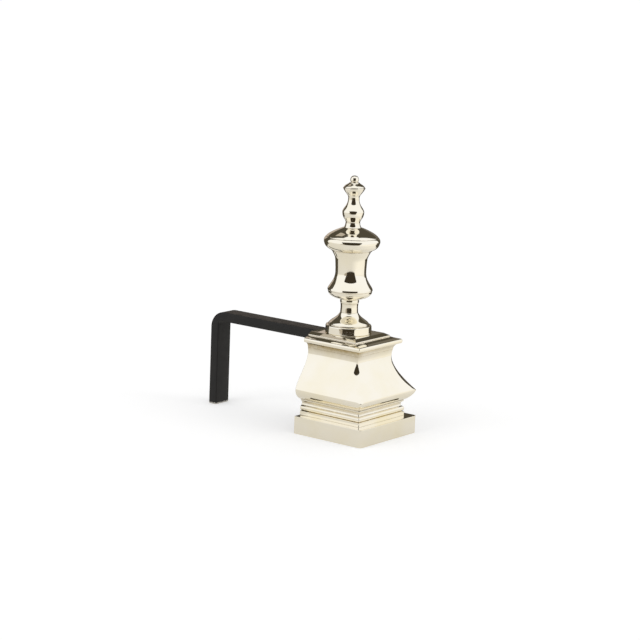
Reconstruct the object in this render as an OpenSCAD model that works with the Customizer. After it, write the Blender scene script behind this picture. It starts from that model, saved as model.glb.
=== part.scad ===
// Andiron: a brass pedestal with a turned spindle, and a flat iron bar that bends
// down into the rear leg. The front faces -Y and the bar runs towards +Y.
// The origin is the middle of the footprint on the hearth. Millimetres.
//
// The four pedestal castings are open at the back and below. One threaded rod runs
// through the whole stack: the finial screws on at the top, a nut holds the bar
// under the top plate, and a second nut pulls a bridge plate up against the plinth.

/* [Plinth] */
// Height of the square plinth
plinth_h = 22; // [20:1:30]
// Half width of the plinth, to each side of the spindle
plinth_side = 57; // [54:1:66]
// Reach of the plinth in front of the spindle
plinth_front = 68; // [64:1:78]
// Radius of the plinth's two front corners
plinth_corner = 4; // [1.5:0.5:8]
// Thickness of the plinth's deck
deck_t = 4; // [3:0.5:6]

/* [Pedestal] */
// Distance from the spindle to the flat back of the pedestal
back_reach = 34; // [30:1:40]
// Wall of the brass castings
wall = 4; // [3:0.5:5]
// Height of the base moulding
base_h = 19.5; // [16:0.5:26]
// Half width of the base moulding at its foot
base_side = 46.5; // [43:0.5:50]
// Extra reach of the base moulding at the front
base_front_more = 10; // [6:0.5:14]
// Radius of the torus on the base moulding
torus_r = 3.3; // [2.4:0.1:4]
// Depth of the cove above the torus
cove_depth = 2.4; // [1:0.1:3.5]
// Height of the bombe body
body_h = 63; // [54:1:80]
// Height of the belly above the body's foot
belly_rise = 12.5; // [9:0.5:16]
// Half width of the belly
belly_side = 57; // [52:0.5:62]
// Reach of the belly in front of the spindle
belly_front = 66.5; // [60:0.5:72]
// Half width of the neck
neck_side = 34.8; // [31:0.2:38]
// Reach of the neck in front of the spindle
neck_front = 42.3; // [38:0.1:46]

/* [Cornice] */
// Height of the cove under the cornice
cornice_cove_h = 7.5; // [5:0.5:10]
// Height of the cornice band
cornice_band_h = 5.5; // [3:0.5:8]
// Half width of the cornice band
cornice_side = 44; // [41:0.5:48]
// Reach of the cornice band in front of the spindle
cornice_front = 51; // [47:0.5:56]
// Height of the hollow between the band and the top plate
cornice_top_h = 2; // [2:0.2:6]
// Half width of the top plate
top_side = 35.5; // [31:0.5:38]
// Reach of the top plate in front of the spindle
top_front = 38; // [33:0.5:41]
// Height of the top plate's edge with its sloping border
top_edge_h = 4.5; // [2:0.1:5]
// Run of the top plate's sloping border
top_slope_in = 5.5; // [1:0.5:6]
// Thickness of the top plate over the bar
top_plate_t = 2.5; // [2:0.5:4]

/* [Spindle] */
// Radius of the foot
foot_r = 28.5; // [24:0.5:31]
// Height of the foot
foot_h = 25; // [20:0.5:32]
// Radius of the stem
stem_r = 10.6; // [9:0.2:12.5]
// Height of the stem with its ring
stem_h = 17; // [12:0.5:24]
// Radius of the stem's ring
ring_r = 11.6; // [11:0.2:15]
// Height of the vase
vase_h = 59; // [50:1:75]
// Radius of the vase's waist
vase_r = 18.8; // [16:0.2:22]
// Radius of the vase's rolled lower rim
vase_rim_r = 27.6; // [24:0.2:31]
// Radius of the vase at its mouth
vase_mouth_r = 24; // [21:0.2:27]
// Radius of the vase cover
cover_r = 34.4; // [30:0.2:38]
// Height of the vase cover
cover_h = 28.5; // [24:0.5:34]
// Height of the finial
finial_h = 54.5; // [48:0.5:64]
// Radius of the finial's ball
ball_r = 13.3; // [11:0.1:15]
// Radius of the finial's neck
finial_neck_r = 6.9; // [5.6:0.1:8]
// Radius of the finial's disc collar
collar_r = 13.6; // [11:0.1:16]
// Radius of the tip button
tip_r = 5.2; // [4:0.1:6.5]
// Height of the tip button
tip_h = 8.5; // [7:0.5:12]

/* [Bar and leg] */
// Width of the flat iron bar
bar_w = 25; // [20:1:32]
// Thickness of the flat iron bar
bar_t = 12; // [9:0.5:14]
// Distance from the spindle to the rear face of the leg
bar_reach = 210; // [180:2:320]
// Length of the bar in front of the spindle
bar_nose = 20; // [15:1:26]
// Outer radius of the bend
bend_outer_r = 21; // [14:1:26]
// Inner radius of the bend
bend_inner_r = 4; // [2:0.5:8]

/* [Fixings] */
// Diameter of the threaded rod
rod_d = 10; // [8:0.5:11]
// Radial clearance of the holes that the rod passes through
rod_clear = 0.5; // [0.2:0.1:0.8]
// Width across the flats of the nuts
nut_af = 17; // [15:0.5:19]
// Height of the nuts
nut_h = 8; // [6:0.5:9]
// Diameter of the washers
washer_d = 24; // [20:0.5:26]
// Thickness of the washers
washer_t = 2; // [1.5:0.5:3]
// Width of the bridge plate
bridge_w = 25; // [20:1:32]
// Thickness of the bridge plate
bridge_t = 3; // [2:0.5:4]
// Length of the bridge plate's lap under the deck at each end
bridge_lap = 6; // [4:0.5:8]
// Length of the rod inside the finial
rod_grip = 18; // [14:1:20]
// Diameter of the tip button's screw
tip_screw_d = 5; // [4:0.5:6]
// Length of the tip button's screw
tip_screw_l = 12; // [8:1:14]
// Side clearance between the bar and its guide ribs
guide_clear = 0.5; // [0.2:0.1:1]
// Thickness of the guide ribs
rib_t = 3; // [2:0.5:4]
// Height of the guide ribs
rib_h = 8; // [4:0.5:9]

/* [Hidden] */
$fn = 96;

// Heights of the joints in the stack, from the hearth up
base_z = plinth_h;
body_z = base_z + base_h;
cap_z = body_z + body_h;
cap_h = cornice_cove_h + cornice_band_h + cornice_top_h + top_edge_h;
plate_z = cap_z + cap_h;
stem_z = plate_z + foot_h;
vase_z = stem_z + stem_h;
cover_z = vase_z + vase_h;
finial_z = cover_z + cover_h;
tip_z = finial_z + finial_h;

// The bar lies against the underside of the top plate
bar_top = plate_z - top_plate_t;
bar_bottom = bar_top - bar_t;

// The spindle stands in front of the middle of the footprint
spindle_y = (plinth_front - bar_reach) / 2;

// Rod and its holes
rod_r = rod_d / 2;
hole_r = rod_r + rod_clear;
rod_proud = 1.5;
bridge_top = plinth_h - deck_t;
bridge_bottom = bridge_top - bridge_t;
rod_bottom = bridge_bottom - washer_t - nut_h - rod_proud;
rod_top = finial_z + rod_grip;
rod_run_out = 1.5;

// Inner edge of the moulding's foot, which the deck's opening follows
deck_side = base_side - wall;
deck_front = base_side + base_front_more - wall;

// How far the neck flares at the joint under the cornice
neck_flare = 0.9;

// Radii at which the foot meets the stem and the vase cover meets the finial
stem_foot_r = stem_r + 0.4;
finial_foot_r = finial_neck_r + 3.8;

// The cornice: lip of the cove, swell of the band, ledge above it, and the gap
// between the hollow's end and the top plate's edge
cove_lip_in = 1.2;
band_swell = 1.1;
ledge_in = 1.4;
edge_gap = 0.7;

// Sag of the hollow above the band, as a share of its rise
hollow_sag = 0.16;

// Height of the top plate's sloping border, as a share of the whole edge
slope_share = 0.65;

// How far the metal behind the hollow reaches below the hollow's foot
shelf_drop = 1;

// Arris of the sharp mouldings, and the small step between two mouldings
arris_r = 1;
quirk = 0.4;

// Smallest inner corner of a casting
least_corner_r = 0.3;

// Steps along each curve
curve_steps = 8;
corner_steps = 6;
outline_points = 2 * (corner_steps + 1) + 2;

// Value at a share of the way from a to b
function between(a, b, share) = a + (b - a) * share;

// Cubic curve through four guide values
function curve(g, t) =
    pow(1 - t, 3) * g[0] + 3 * pow(1 - t, 2) * t * g[1]
    + 3 * (1 - t) * pow(t, 2) * g[2] + pow(t, 3) * g[3];

// Points [r, z] of an arc about [r, z] = centre, angles from the +r direction
function arc(centre, r, from, to, steps = curve_steps) =
    [for (i = [0:steps]) let (a = from + (to - from) * i / steps)
        centre + r * [cos(a), sin(a)]];

// Points [r, z] of a smooth curve with four guide points
function sweep(g, steps = curve_steps) =
    [for (i = [0:steps]) [curve([for (p = g) p[0]], i / steps),
                          curve([for (p = g) p[1]], i / steps)]];

// Outline of a casting's section at one level, from the back left round the
// front to the back right. A level is [z, side, front, corner radius].
function outline(level, inset) =
    let (s = level[1] - inset, f = level[2] - inset, r = max(level[3] - inset, least_corner_r))
    concat(
        [[-s, back_reach, level[0]]],
        [for (i = [0:corner_steps]) let (a = 180 + 90 * i / corner_steps)
            [-s + r + r * cos(a), -f + r + r * sin(a), level[0]]],
        [for (i = [0:corner_steps]) let (a = 270 + 90 * i / corner_steps)
            [s - r + r * cos(a), -f + r + r * sin(a), level[0]]],
        [[s, back_reach, level[0]]]);

// Loft of a three-sided casting, open at the back, through its levels
module casting_shell(levels) {
    n = outline_points;
    rings = len(levels);
    outer = [for (l = levels) each outline(l, 0)];
    inner = [for (l = levels) each outline(l, wall)];
    first_inner = len(outer);
    function o(k, i) = k * n + i;
    function q(k, i) = first_inner + k * n + i;
    faces = concat(
        [for (k = [0:rings - 2], i = [0:n - 2]) each [
            [o(k, i), o(k + 1, i), o(k + 1, i + 1)], [o(k, i), o(k + 1, i + 1), o(k, i + 1)],
            [q(k, i), q(k + 1, i + 1), q(k + 1, i)], [q(k, i), q(k, i + 1), q(k + 1, i + 1)]]],
        [for (k = [0:rings - 2]) each [
            [o(k, 0), q(k, 0), q(k + 1, 0)], [o(k, 0), q(k + 1, 0), o(k + 1, 0)],
            [o(k, n - 1), q(k + 1, n - 1), q(k, n - 1)],
            [o(k, n - 1), o(k + 1, n - 1), q(k + 1, n - 1)]]],
        [for (i = [0:n - 2]) each [
            [o(0, i), o(0, i + 1), q(0, i + 1)], [o(0, i), q(0, i + 1), q(0, i)],
            [o(rings - 1, i), q(rings - 1, i + 1), o(rings - 1, i + 1)],
            [o(rings - 1, i), q(rings - 1, i), q(rings - 1, i + 1)]]]);
    polyhedron(points = concat(outer, inner), faces = faces);
}

// A slab between the outlines of its levels, flat at the back
module casting_slab(levels) {
    n = outline_points;
    last = (len(levels) - 1) * n;
    faces = concat(
        [for (k = [0:len(levels) - 2], i = [0:n - 1])
            let (a = k * n + i, b = k * n + (i + 1) % n)
            each [[a, a + n, b + n], [a, b + n, b]]],
        [[for (i = [0:n - 1]) i], [for (i = [n - 1:-1:0]) last + i]]);
    polyhedron(points = [for (l = levels) each outline(l, 0)], faces = faces);
}

// Levels of a mitred moulding: the profile's [half width, z] points, with the
// front standing out more than the sides
function mitred(profile, front_more) =
    [for (p = profile) [p[1], p[0], p[0] + front_more, arris_r]];

module at_spindle() {
    translate([0, spindle_y, 0]) children();
}

module brass() {
    color("#d9c98a") children();
}

module steel() {
    color("#8b8f94") children();
}

// Flat outline with rounded front corners and a straight back
module rounded_plan(side, front, r) {
    translate([-side, -front + r]) square([2 * side, back_reach + front - r]);
    translate([-side + r, -front]) square([2 * side - 2 * r, r + 1]);
    for (x = [-side + r, side - r]) translate([x, -front + r]) circle(r);
}

module plinth() {
    inner_corner = max(plinth_corner - wall, 1);
    brass() at_spindle() difference() {
        linear_extrude(plinth_h) rounded_plan(plinth_side, plinth_front, plinth_corner);
        // hollow underneath, open at the back
        translate([0, 0, -1]) linear_extrude(plinth_h - deck_t + 1) union() {
            rounded_plan(plinth_side - wall, plinth_front - wall, inner_corner);
            translate([-plinth_side + wall, 0])
                square([2 * (plinth_side - wall), back_reach + 1]);
        }
        // opening in the deck under the base moulding
        translate([-deck_side, -deck_front, plinth_h - deck_t - 1])
            cube([2 * deck_side, deck_front + back_reach + 1, deck_t + 2]);
    }
}

// Fillet, torus, cove and lip, from the plinth up
function base_profile() =
    let (fillet_h = 5.4, lip_h = 1.6, lip_in = 0.6,
         torus_z = base_z + fillet_h + torus_r,
         torus_c = base_side - torus_r,
         cove_z = torus_z + torus_r + 2 * quirk,
         lip_z = body_z - lip_h,
         lip_side = base_side - lip_in)
    concat(
        [[base_side, base_z], [base_side, base_z + fillet_h - quirk],
         [torus_c + quirk, base_z + fillet_h]],
        arc([torus_c, torus_z], torus_r, -80, 80),
        [[torus_c + quirk, cove_z]],
        [for (i = [1:curve_steps]) let (t = i / curve_steps)
            [between(torus_c + quirk, lip_side - lip_in, t) - cove_depth * sin(180 * t) / 2,
             between(cove_z, lip_z, t)]],
        [[lip_side, lip_z + quirk / 2], [lip_side, body_z]]);

module base_moulding() {
    brass() at_spindle() casting_shell(mitred(base_profile(), base_front_more));
}

// The bombe body: a full curve from the foot out to the belly, then an ogee in to
// the neck. The sides and the front follow one profile, as in a mitred pattern, and
// the guide values are shares of the way between its ends. The corners are crisp at
// the foot, the belly and the neck, and soft between them.
function body_levels() =
    let (seat_side_in = 1.2, seat_front_in = 2, neck_drop = 6.5,
         seat_r = 1.5, under_r = 7.6, belly_r = 2.5, flank_r = 32, throat_r = 10.2, neck_r = 1.2,
         under_out = [0, 0.34, 0.96, 1], flank_in = [0, 0, 0.946, 1],
         seat_side = base_side - seat_side_in,
         seat_front = base_side + base_front_more - seat_front_in,
         belly_z = body_z + belly_rise,
         neck_z = cap_z - neck_drop,
         under = [for (i = [0:curve_steps]) let (t = i / curve_steps)
             [between(body_z, belly_z, curve([0, 0.08, 0.44, 1], t)),
              between(seat_side, belly_side, curve(under_out, t)),
              between(seat_front, belly_front, curve(under_out, t)),
              curve([seat_r, under_r, under_r, belly_r], t)]],
         flank = [for (i = [1:2 * curve_steps]) let (t = i / (2 * curve_steps))
             [between(belly_z, neck_z, curve([0, 0.23, 0.68, 1], t)),
              between(belly_side, neck_side, curve(flank_in, t)),
              between(belly_front, neck_front, curve(flank_in, t)),
              curve([belly_r, flank_r, throat_r, neck_r], t)]],
         neck = [for (i = [1:curve_steps / 2]) let (t = 2 * i / curve_steps)
             [between(neck_z, cap_z, t),
              neck_side + neck_flare * pow(t, 2),
              neck_front + neck_flare * pow(t, 2),
              neck_r]])
    concat(under, flank, neck);

module pedestal_body() {
    brass() at_spindle() casting_shell(body_levels());
}

// Cove, rounded band, then a shallow sloping hollow in to the top plate, from the neck up
function cap_levels() =
    let (swell_turn = 60,
         foot_side = neck_side + neck_flare,
         foot_front = neck_front + neck_flare,
         band_z = cap_z + cornice_cove_h,
         hollow_z = band_z + cornice_band_h)
    concat(
        [for (i = [0:curve_steps]) let (a = 90 * i / curve_steps)
            [cap_z + cornice_cove_h * sin(a),
             between(foot_side, cornice_side - cove_lip_in, 1 - cos(a)),
             between(foot_front, cornice_front - cove_lip_in, 1 - cos(a)),
             arris_r]],
        [for (i = [0:curve_steps]) let (t = i / curve_steps, a = swell_turn * (2 * t - 1))
            [between(band_z + quirk, hollow_z - quirk, t),
             cornice_side - band_swell * (1 - cos(a)),
             cornice_front - band_swell * (1 - cos(a)),
             arris_r]],
        [for (i = [0:curve_steps]) let (t = i / curve_steps)
            [hollow_z + cornice_top_h * (t - hollow_sag * sin(180 * t)),
             between(cornice_side - ledge_in, top_side + edge_gap, t),
             between(cornice_front - ledge_in, top_front + edge_gap, t),
             arris_r]]);

module cornice_cap() {
    edge_z = plate_z - top_edge_h;
    shelf_z = edge_z - cornice_top_h - shelf_drop;
    flat_side = top_side - top_slope_in;
    flat_front = top_front - top_slope_in;
    rib_x = bar_w / 2 + guide_clear;
    rib_front = top_front - 2 * wall;
    brass() at_spindle() difference() {
        union() {
            casting_shell(cap_levels());
            // top plate: a shelf that backs the hollow, a low upright edge, then a border
            // that slopes up to the flat
            casting_slab([[shelf_z, cornice_side - wall, cornice_front - wall, arris_r],
                          [edge_z, top_side, top_front, arris_r],
                          [plate_z - slope_share * top_edge_h, top_side, top_front, arris_r],
                          [plate_z, flat_side, flat_front, arris_r]]);
        }
        // the plate's underside is cut away to its thickness over the bar
        translate([-flat_side, -flat_front, shelf_z - 1])
            cube([2 * flat_side, flat_front + back_reach + 1, bar_top - shelf_z + 1]);
        cylinder(r = hole_r, h = plate_z + 1);
    }
    // two ribs that keep the bar from turning
    brass() at_spindle() for (side = [0, 1]) mirror([side, 0, 0])
        translate([rib_x, -rib_front, bar_top - rib_h])
            cube([rib_t, rib_front + back_reach - wall, rib_h]);
}

// A turned piece: its outline is closed along the axis and bored for the rod
module turned(profile, z) {
    top = max([for (p = profile) p[1]]);
    bottom = min([for (p = profile) p[1]]);
    translate([0, 0, z]) difference() {
        rotate_extrude() polygon(concat([[0, bottom]], profile, [[0, top]]));
        translate([0, 0, bottom - 1]) cylinder(r = hole_r, h = top - bottom + 2);
    }
}

// Drum with a slight draft and a rounded shoulder, then a bell up to the stem
function foot_profile() =
    let (arris = 0.6, draft = 0.4, roll = 1.8, shoulder_in = 3.3,
         drum_h = 0.4 * foot_h, bell_h = foot_h - drum_h,
         shoulder_r = foot_r - shoulder_in)
    concat(
        [[foot_r - arris, 0], [foot_r, arris]],
        arc([foot_r - draft - roll, drum_h - roll], roll, 0, 90, 6),
        [[shoulder_r, drum_h + quirk / 4], [shoulder_r, drum_h + 0.07 * bell_h]],
        sweep([[shoulder_r - quirk, drum_h + 0.09 * bell_h],
               [0.79 * foot_r, drum_h + 0.37 * bell_h],
               [1.28 * stem_foot_r, drum_h + 0.53 * bell_h],
               [stem_foot_r, foot_h]], 12));

module spindle_foot() {
    brass() at_spindle() turned(foot_profile(), plate_z);
}

// Stem, slenderest below its middle, with a rounded ring near its top
function stem_profile() =
    let (ring_h = 0.27 * stem_h, top_h = 0.8, top_more = 0.6,
         slender_z = 0.42 * stem_h,
         ring_c = stem_h - top_h - ring_h / 2,
         ring_foot_r = stem_r + quirk)
    concat(
        sweep([[stem_foot_r, 0], [stem_r + quirk / 2, 0.4 * slender_z],
               [stem_r, 0.8 * slender_z], [stem_r, slender_z]], 4),
        [[ring_foot_r, ring_c - ring_h / 2 - quirk / 4]],
        [for (i = [0:curve_steps]) let (a = 180 * i / curve_steps - 90)
            [between(ring_foot_r, ring_r, cos(a)), ring_c + ring_h / 2 * sin(a)]],
        [[stem_r + top_more, stem_h - top_h], [stem_r + top_more, stem_h]]);

module spindle_stem() {
    brass() at_spindle() turned(stem_profile(), stem_z);
}

// Rolled lower rim, a waist that is slenderest just below its middle, flared mouth
function vase_profile() =
    let (rim_roll = 1.5, rim_turn = 31, under_h = 0.15 * vase_h, rim_z = 0.19 * vase_h,
         waist_low = 0.54 * vase_h, waist_high = 0.78 * vase_h,
         waist_high_r = 1.03 * vase_r)
    concat(
        sweep([[1.13 * stem_r, 0], [0.71 * vase_rim_r, 0.07 * under_h],
               [0.91 * vase_rim_r, 0.4 * under_h], [0.97 * vase_rim_r, 0.89 * under_h]], 8),
        arc([vase_rim_r - rim_roll, rim_z], rim_roll, -50, rim_turn, 6),
        sweep([[0.982 * vase_rim_r, rim_z + 0.033 * vase_h],
               [between(vase_r, vase_rim_r, 0.386), 0.356 * vase_h],
               [1.032 * vase_r, 0.398 * vase_h], [vase_r, waist_low]], 12),
        sweep([[vase_r, between(waist_low, waist_high, 0.15)],
               [vase_r, between(waist_low, waist_high, 0.4)],
               [1.015 * vase_r, between(waist_low, waist_high, 0.7)],
               [waist_high_r, waist_high]], 5),
        sweep([[waist_high_r + quirk / 4, waist_high + 0.02 * vase_h],
               [1.05 * vase_r, 0.88 * vase_h],
               [0.9 * vase_mouth_r, 0.91 * vase_h], [vase_mouth_r, vase_h]], 8));

module vase() {
    brass() at_spindle() turned(vase_profile(), vase_z);
}

// Hollowed underside, fat rolled edge, a fine line, then a low dome up to the finial
function cover_profile() =
    let (seat_r = vase_mouth_r + 2 * quirk, line_w = 0.6,
         roll = 6.2, roll_z = 0.42 * cover_h,
         line_r = cover_r - 2.8, line_z = roll_z + 0.77 * roll)
    concat(
        [[seat_r, 0], [seat_r, line_w]],
        sweep([[seat_r, 2 * quirk], [between(vase_mouth_r, cover_r, 0.34), 0.07 * cover_h],
               [between(vase_mouth_r, cover_r, 0.72), 0.13 * cover_h],
               [between(vase_mouth_r, cover_r, 0.885), roll_z - 0.72 * roll]], 8),
        arc([cover_r - roll, roll_z], roll, -26, 50, 12),
        [[line_r, line_z + quirk / 4], [line_r, line_z + quirk]],
        sweep([[line_r, line_z + line_w], [line_r - quirk * 6, line_z + 0.14 * cover_h],
               [between(finial_foot_r, line_r, 0.4), 0.9 * cover_h],
               [finial_foot_r, cover_h]], 14));

module vase_cover() {
    brass() at_spindle() turned(cover_profile(), cover_z);
}

// Flared foot, ball, slender neck and disc collar
function finial_profile() =
    let (low_neck_z = 0.12 * finial_h, ball_z = 0.34 * finial_h, neck_z = 0.64 * finial_h,
         collar_z = 0.885 * finial_h, edge_r = 0.7,
         low_neck_r = 1.28 * finial_neck_r, low_neck_out = low_neck_r + 1.5 * quirk,
         top_r = tip_r + 0.9)
    concat(
        sweep([[finial_foot_r, 0], [low_neck_out, 0.3 * low_neck_z],
               [low_neck_r, 0.6 * low_neck_z], [low_neck_r, low_neck_z]], 6),
        sweep([[low_neck_r, low_neck_z], [low_neck_out, between(low_neck_z, ball_z, 0.33)],
               [ball_r, between(low_neck_z, ball_z, 0.42)], [ball_r, ball_z]], 8),
        sweep([[ball_r, ball_z], [ball_r, between(ball_z, neck_z, 0.3)],
               [finial_neck_r, between(ball_z, neck_z, 0.45)],
               [finial_neck_r, neck_z]], 10),
        sweep([[finial_neck_r, between(neck_z, collar_z, 0.11)],
               [finial_neck_r, between(neck_z, collar_z, 0.37)],
               [0.78 * collar_r, between(neck_z, collar_z, 0.51)],
               [0.98 * collar_r, between(neck_z, collar_z, 0.925)]], 8),
        arc([collar_r - edge_r, collar_z - quirk], edge_r, -40, 80, 4),
        sweep([[0.935 * collar_r, between(collar_z, finial_h, 0.08)],
               [0.9 * collar_r, between(collar_z, finial_h, 0.51)],
               [top_r + 1.3, between(collar_z, finial_h, 0.7)], [top_r, finial_h]], 6));

module finial() {
    brass() at_spindle() difference() {
        translate([0, 0, finial_z]) rotate_extrude()
            polygon(concat([[0, 0]], finial_profile(), [[0, finial_h]]));
        // tapped hole for the rod, with room past the rod's end
        translate([0, 0, finial_z - 1]) cylinder(r = rod_r, h = rod_grip + rod_run_out + 1);
        // tapped hole for the tip button's screw
        translate([0, 0, tip_z - tip_screw_l - rod_run_out])
            cylinder(d = tip_screw_d, h = tip_screw_l + rod_run_out + 1);
    }
}

// Short neck and a rounded button, with the screw that holds it
function tip_profile() =
    let (neck_h = 0.9, neck_in = 0.8, edge_r = 1.2)
    concat(
        [[tip_r - neck_in, 0], [tip_r - neck_in, neck_h]],
        arc([tip_r - edge_r, neck_h + edge_r + quirk], edge_r, -70, 0, 4),
        sweep([[tip_r, neck_h + edge_r + 2 * quirk], [tip_r, 0.75 * tip_h],
               [0.69 * tip_r, tip_h], [quirk, tip_h]], 8));

module tip_button() {
    brass() at_spindle() translate([0, 0, tip_z]) {
        rotate_extrude() polygon(concat([[0, 0]], tip_profile(), [[0, tip_h]]));
        translate([0, 0, -tip_screw_l]) cylinder(d = tip_screw_d, h = tip_screw_l + 1);
    }
}

// Block from x0 to x1, from below the hearth up, with its far upper corner rounded
module rounded_block(x0, x1, top, r) {
    below = 1;
    translate([x0, -below]) square([x1 - r - x0, top + below]);
    translate([x0, -below]) square([x1 - x0, top - r + below]);
    translate([x1 - r, top - r]) circle(r);
}

// Side outline of the bar: x is the distance behind the spindle, y the height
module bar_outline() {
    intersection() {
        difference() {
            rounded_block(-bar_nose, bar_reach, bar_top, bend_outer_r);
            rounded_block(-bar_nose - 1, bar_reach - bar_t, bar_bottom, bend_inner_r);
        }
        translate([-bar_nose, 0]) square([bar_nose + bar_reach, bar_top]);
    }
}

module billet_bar() {
    color("#2b2a2c") at_spindle() difference() {
        translate([-bar_w / 2, 0, 0]) rotate([90, 0, 90]) linear_extrude(bar_w) bar_outline();
        translate([0, 0, bar_bottom - 1]) cylinder(r = hole_r, h = bar_t + 2);
    }
}

module tie_rod() {
    steel() at_spindle() translate([0, 0, rod_bottom]) cylinder(r = rod_r, h = rod_top - rod_bottom);
}

// Undersides that the two nuts press against
module under_each_seat() {
    for (z = [bar_bottom, bridge_bottom]) translate([0, 0, z]) children();
}

module clamp_nuts() {
    steel() at_spindle() under_each_seat() translate([0, 0, -washer_t - nut_h]) difference() {
        cylinder(d = nut_af / cos(30), h = nut_h, $fn = 6);
        translate([0, 0, -1]) cylinder(r = rod_r, h = nut_h + 2);
    }
}

module clamp_washers() {
    steel() at_spindle() under_each_seat() translate([0, 0, -washer_t]) difference() {
        cylinder(d = washer_d, h = washer_t);
        translate([0, 0, -1]) cylinder(r = hole_r, h = washer_t + 2);
    }
}

module bridge_plate() {
    half = deck_side + bridge_lap;
    steel() at_spindle() translate([0, 0, bridge_bottom]) difference() {
        translate([-half, -bridge_w / 2, 0]) cube([2 * half, bridge_w, bridge_t]);
        translate([0, 0, -1]) cylinder(r = hole_r, h = bridge_t + 2);
    }
}

plinth();
base_moulding();
pedestal_body();
cornice_cap();
spindle_foot();
spindle_stem();
vase();
vase_cover();
finial();
tip_button();
billet_bar();
tie_rod();
clamp_nuts();
clamp_washers();
bridge_plate();
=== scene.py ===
# %% [markdown]
# # An andiron of polished brass and black iron
#
# One of a pair of fire dogs. Its front is a brass pedestal with a turned brass spindle on it. A
# flat iron bar runs back into the hearth, carries the logs, and bends down as the rear leg.
# The CAD model gives every size. This lesson loads it, gives each piece the softened edges, the
# threads and the finish of the real one, and lights it as polished metal is lit for a catalogue.

import math

import bmesh
import bpy
import numpy as np
from mathutils import Matrix, Vector


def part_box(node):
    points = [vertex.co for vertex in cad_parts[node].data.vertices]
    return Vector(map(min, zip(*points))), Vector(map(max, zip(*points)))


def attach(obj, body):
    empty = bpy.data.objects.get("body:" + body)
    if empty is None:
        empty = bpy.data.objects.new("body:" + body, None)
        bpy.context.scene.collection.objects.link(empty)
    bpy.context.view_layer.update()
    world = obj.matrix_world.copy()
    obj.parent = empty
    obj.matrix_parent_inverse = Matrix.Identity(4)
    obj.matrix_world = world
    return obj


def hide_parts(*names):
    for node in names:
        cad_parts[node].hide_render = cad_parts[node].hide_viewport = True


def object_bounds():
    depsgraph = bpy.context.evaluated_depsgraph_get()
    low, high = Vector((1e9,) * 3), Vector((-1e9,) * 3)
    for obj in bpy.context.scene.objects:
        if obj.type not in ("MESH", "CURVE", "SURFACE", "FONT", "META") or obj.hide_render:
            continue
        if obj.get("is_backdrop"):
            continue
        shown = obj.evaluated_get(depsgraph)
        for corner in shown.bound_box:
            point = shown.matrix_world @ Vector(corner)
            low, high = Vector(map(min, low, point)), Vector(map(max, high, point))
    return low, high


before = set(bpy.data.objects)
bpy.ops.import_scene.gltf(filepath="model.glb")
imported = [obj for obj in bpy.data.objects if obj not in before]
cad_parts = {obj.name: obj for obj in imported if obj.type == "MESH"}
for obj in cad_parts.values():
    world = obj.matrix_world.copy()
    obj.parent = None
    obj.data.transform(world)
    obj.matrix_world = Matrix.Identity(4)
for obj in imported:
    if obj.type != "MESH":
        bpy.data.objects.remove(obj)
cad_low, cad_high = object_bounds()
scene = bpy.context.scene
MM = 0.001
print("CAD box, mm:", [round((h - l) / MM, 1) for l, h in zip(cad_low, cad_high)])

# %% [markdown]
# ## The camera
#
# The camera comes first, because it decides which details will show. The spindle is a body of
# revolution, so its two outlines give the place of its axis in the picture, and the three
# corners of each moulding give the angle: about 37 degrees round from the side and 11 degrees
# above the horizon. The whole picture leans by 2.4 degrees, spindle and leg alike. That is a
# camera held askew, so the camera is rolled and the andiron stands upright.

# %% Place the camera
axis_y = (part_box("vase")[0].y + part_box("vase")[1].y) / 2
camera_turn = math.radians(36.91)
camera_rise = math.radians(10.95)
camera_roll = math.radians(2.38)
camera_distance = 2636.06 * MM
pixels_per_metre = 820
picture_side = 640
aimed_at = Vector((0, axis_y, 150 * MM))
aimed_pixel = (349.15, 311.12)

towards_camera = Vector(
    (
        -math.cos(camera_turn) * math.cos(camera_rise),
        -math.sin(camera_turn) * math.cos(camera_rise),
        math.sin(camera_rise),
    )
)
camera = bpy.data.objects.new("camera", bpy.data.cameras.new("camera"))
scene.collection.objects.link(camera)
scene.camera = camera
camera.data.sensor_width = 36
camera.data.lens = camera.data.sensor_width * pixels_per_metre * camera_distance / picture_side
camera.data.shift_x = (picture_side / 2 - aimed_pixel[0]) / picture_side
camera.data.shift_y = (aimed_pixel[1] - picture_side / 2) / picture_side
camera.location = aimed_at + towards_camera * camera_distance
facing = (-towards_camera).to_track_quat("-Z", "Y")
camera.rotation_euler = (facing.to_matrix() @ Matrix.Rotation(camera_roll, 3, "Z")).to_euler()
camera.data.clip_end = 100
print("lens:", round(camera.data.lens, 1), "mm on a 36 mm sensor")

# %% [markdown]
# ## Curves
#
# A turner and a pattern maker both work from a drawn profile. The CAD model draws each profile
# with a few arcs and guided curves, and turns them into flat facets. Polished metal shows every
# facet, so the same curves are drawn again here, much finer.
#
# Then the drawn line is softened. A buffing wheel takes the sharpness off every edge, and this
# is what gives real brass the thin bright line along its arrises. The line is cut into very
# short steps and blurred over a few tenths of a millimetre, then thinned again: points stay
# close together where it bends, and far apart where it runs straight.

# %% Curves of a profile, in millimetres


def between(a, b, share):
    return a + (b - a) * share


def curve(guides, t):
    """Value at t, from 0 to 1, of a cubic curve through four guide values."""
    a, b, c, d = guides
    return (1 - t) ** 3 * a + 3 * (1 - t) ** 2 * t * b + 3 * (1 - t) * t**2 * c + t**3 * d


def shares(steps):
    """Equal shares from 0 to 1."""
    return [i / steps for i in range(steps + 1)]


def arc(centre, radius, start, stop, steps=24):
    """Points of an arc, its angles in degrees from the outward direction."""
    turns = [math.radians(between(start, stop, t)) for t in shares(steps)]
    return [(centre[0] + radius * math.cos(a), centre[1] + radius * math.sin(a)) for a in turns]


def sweep(*guides):
    """Points of a smooth curve with four guide points."""
    return [tuple(curve([g[k] for g in guides], t) for k in (0, 1)) for t in shares(40)]


# %% Soften a profile and spread its points
fine_step = 0.04


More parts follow.
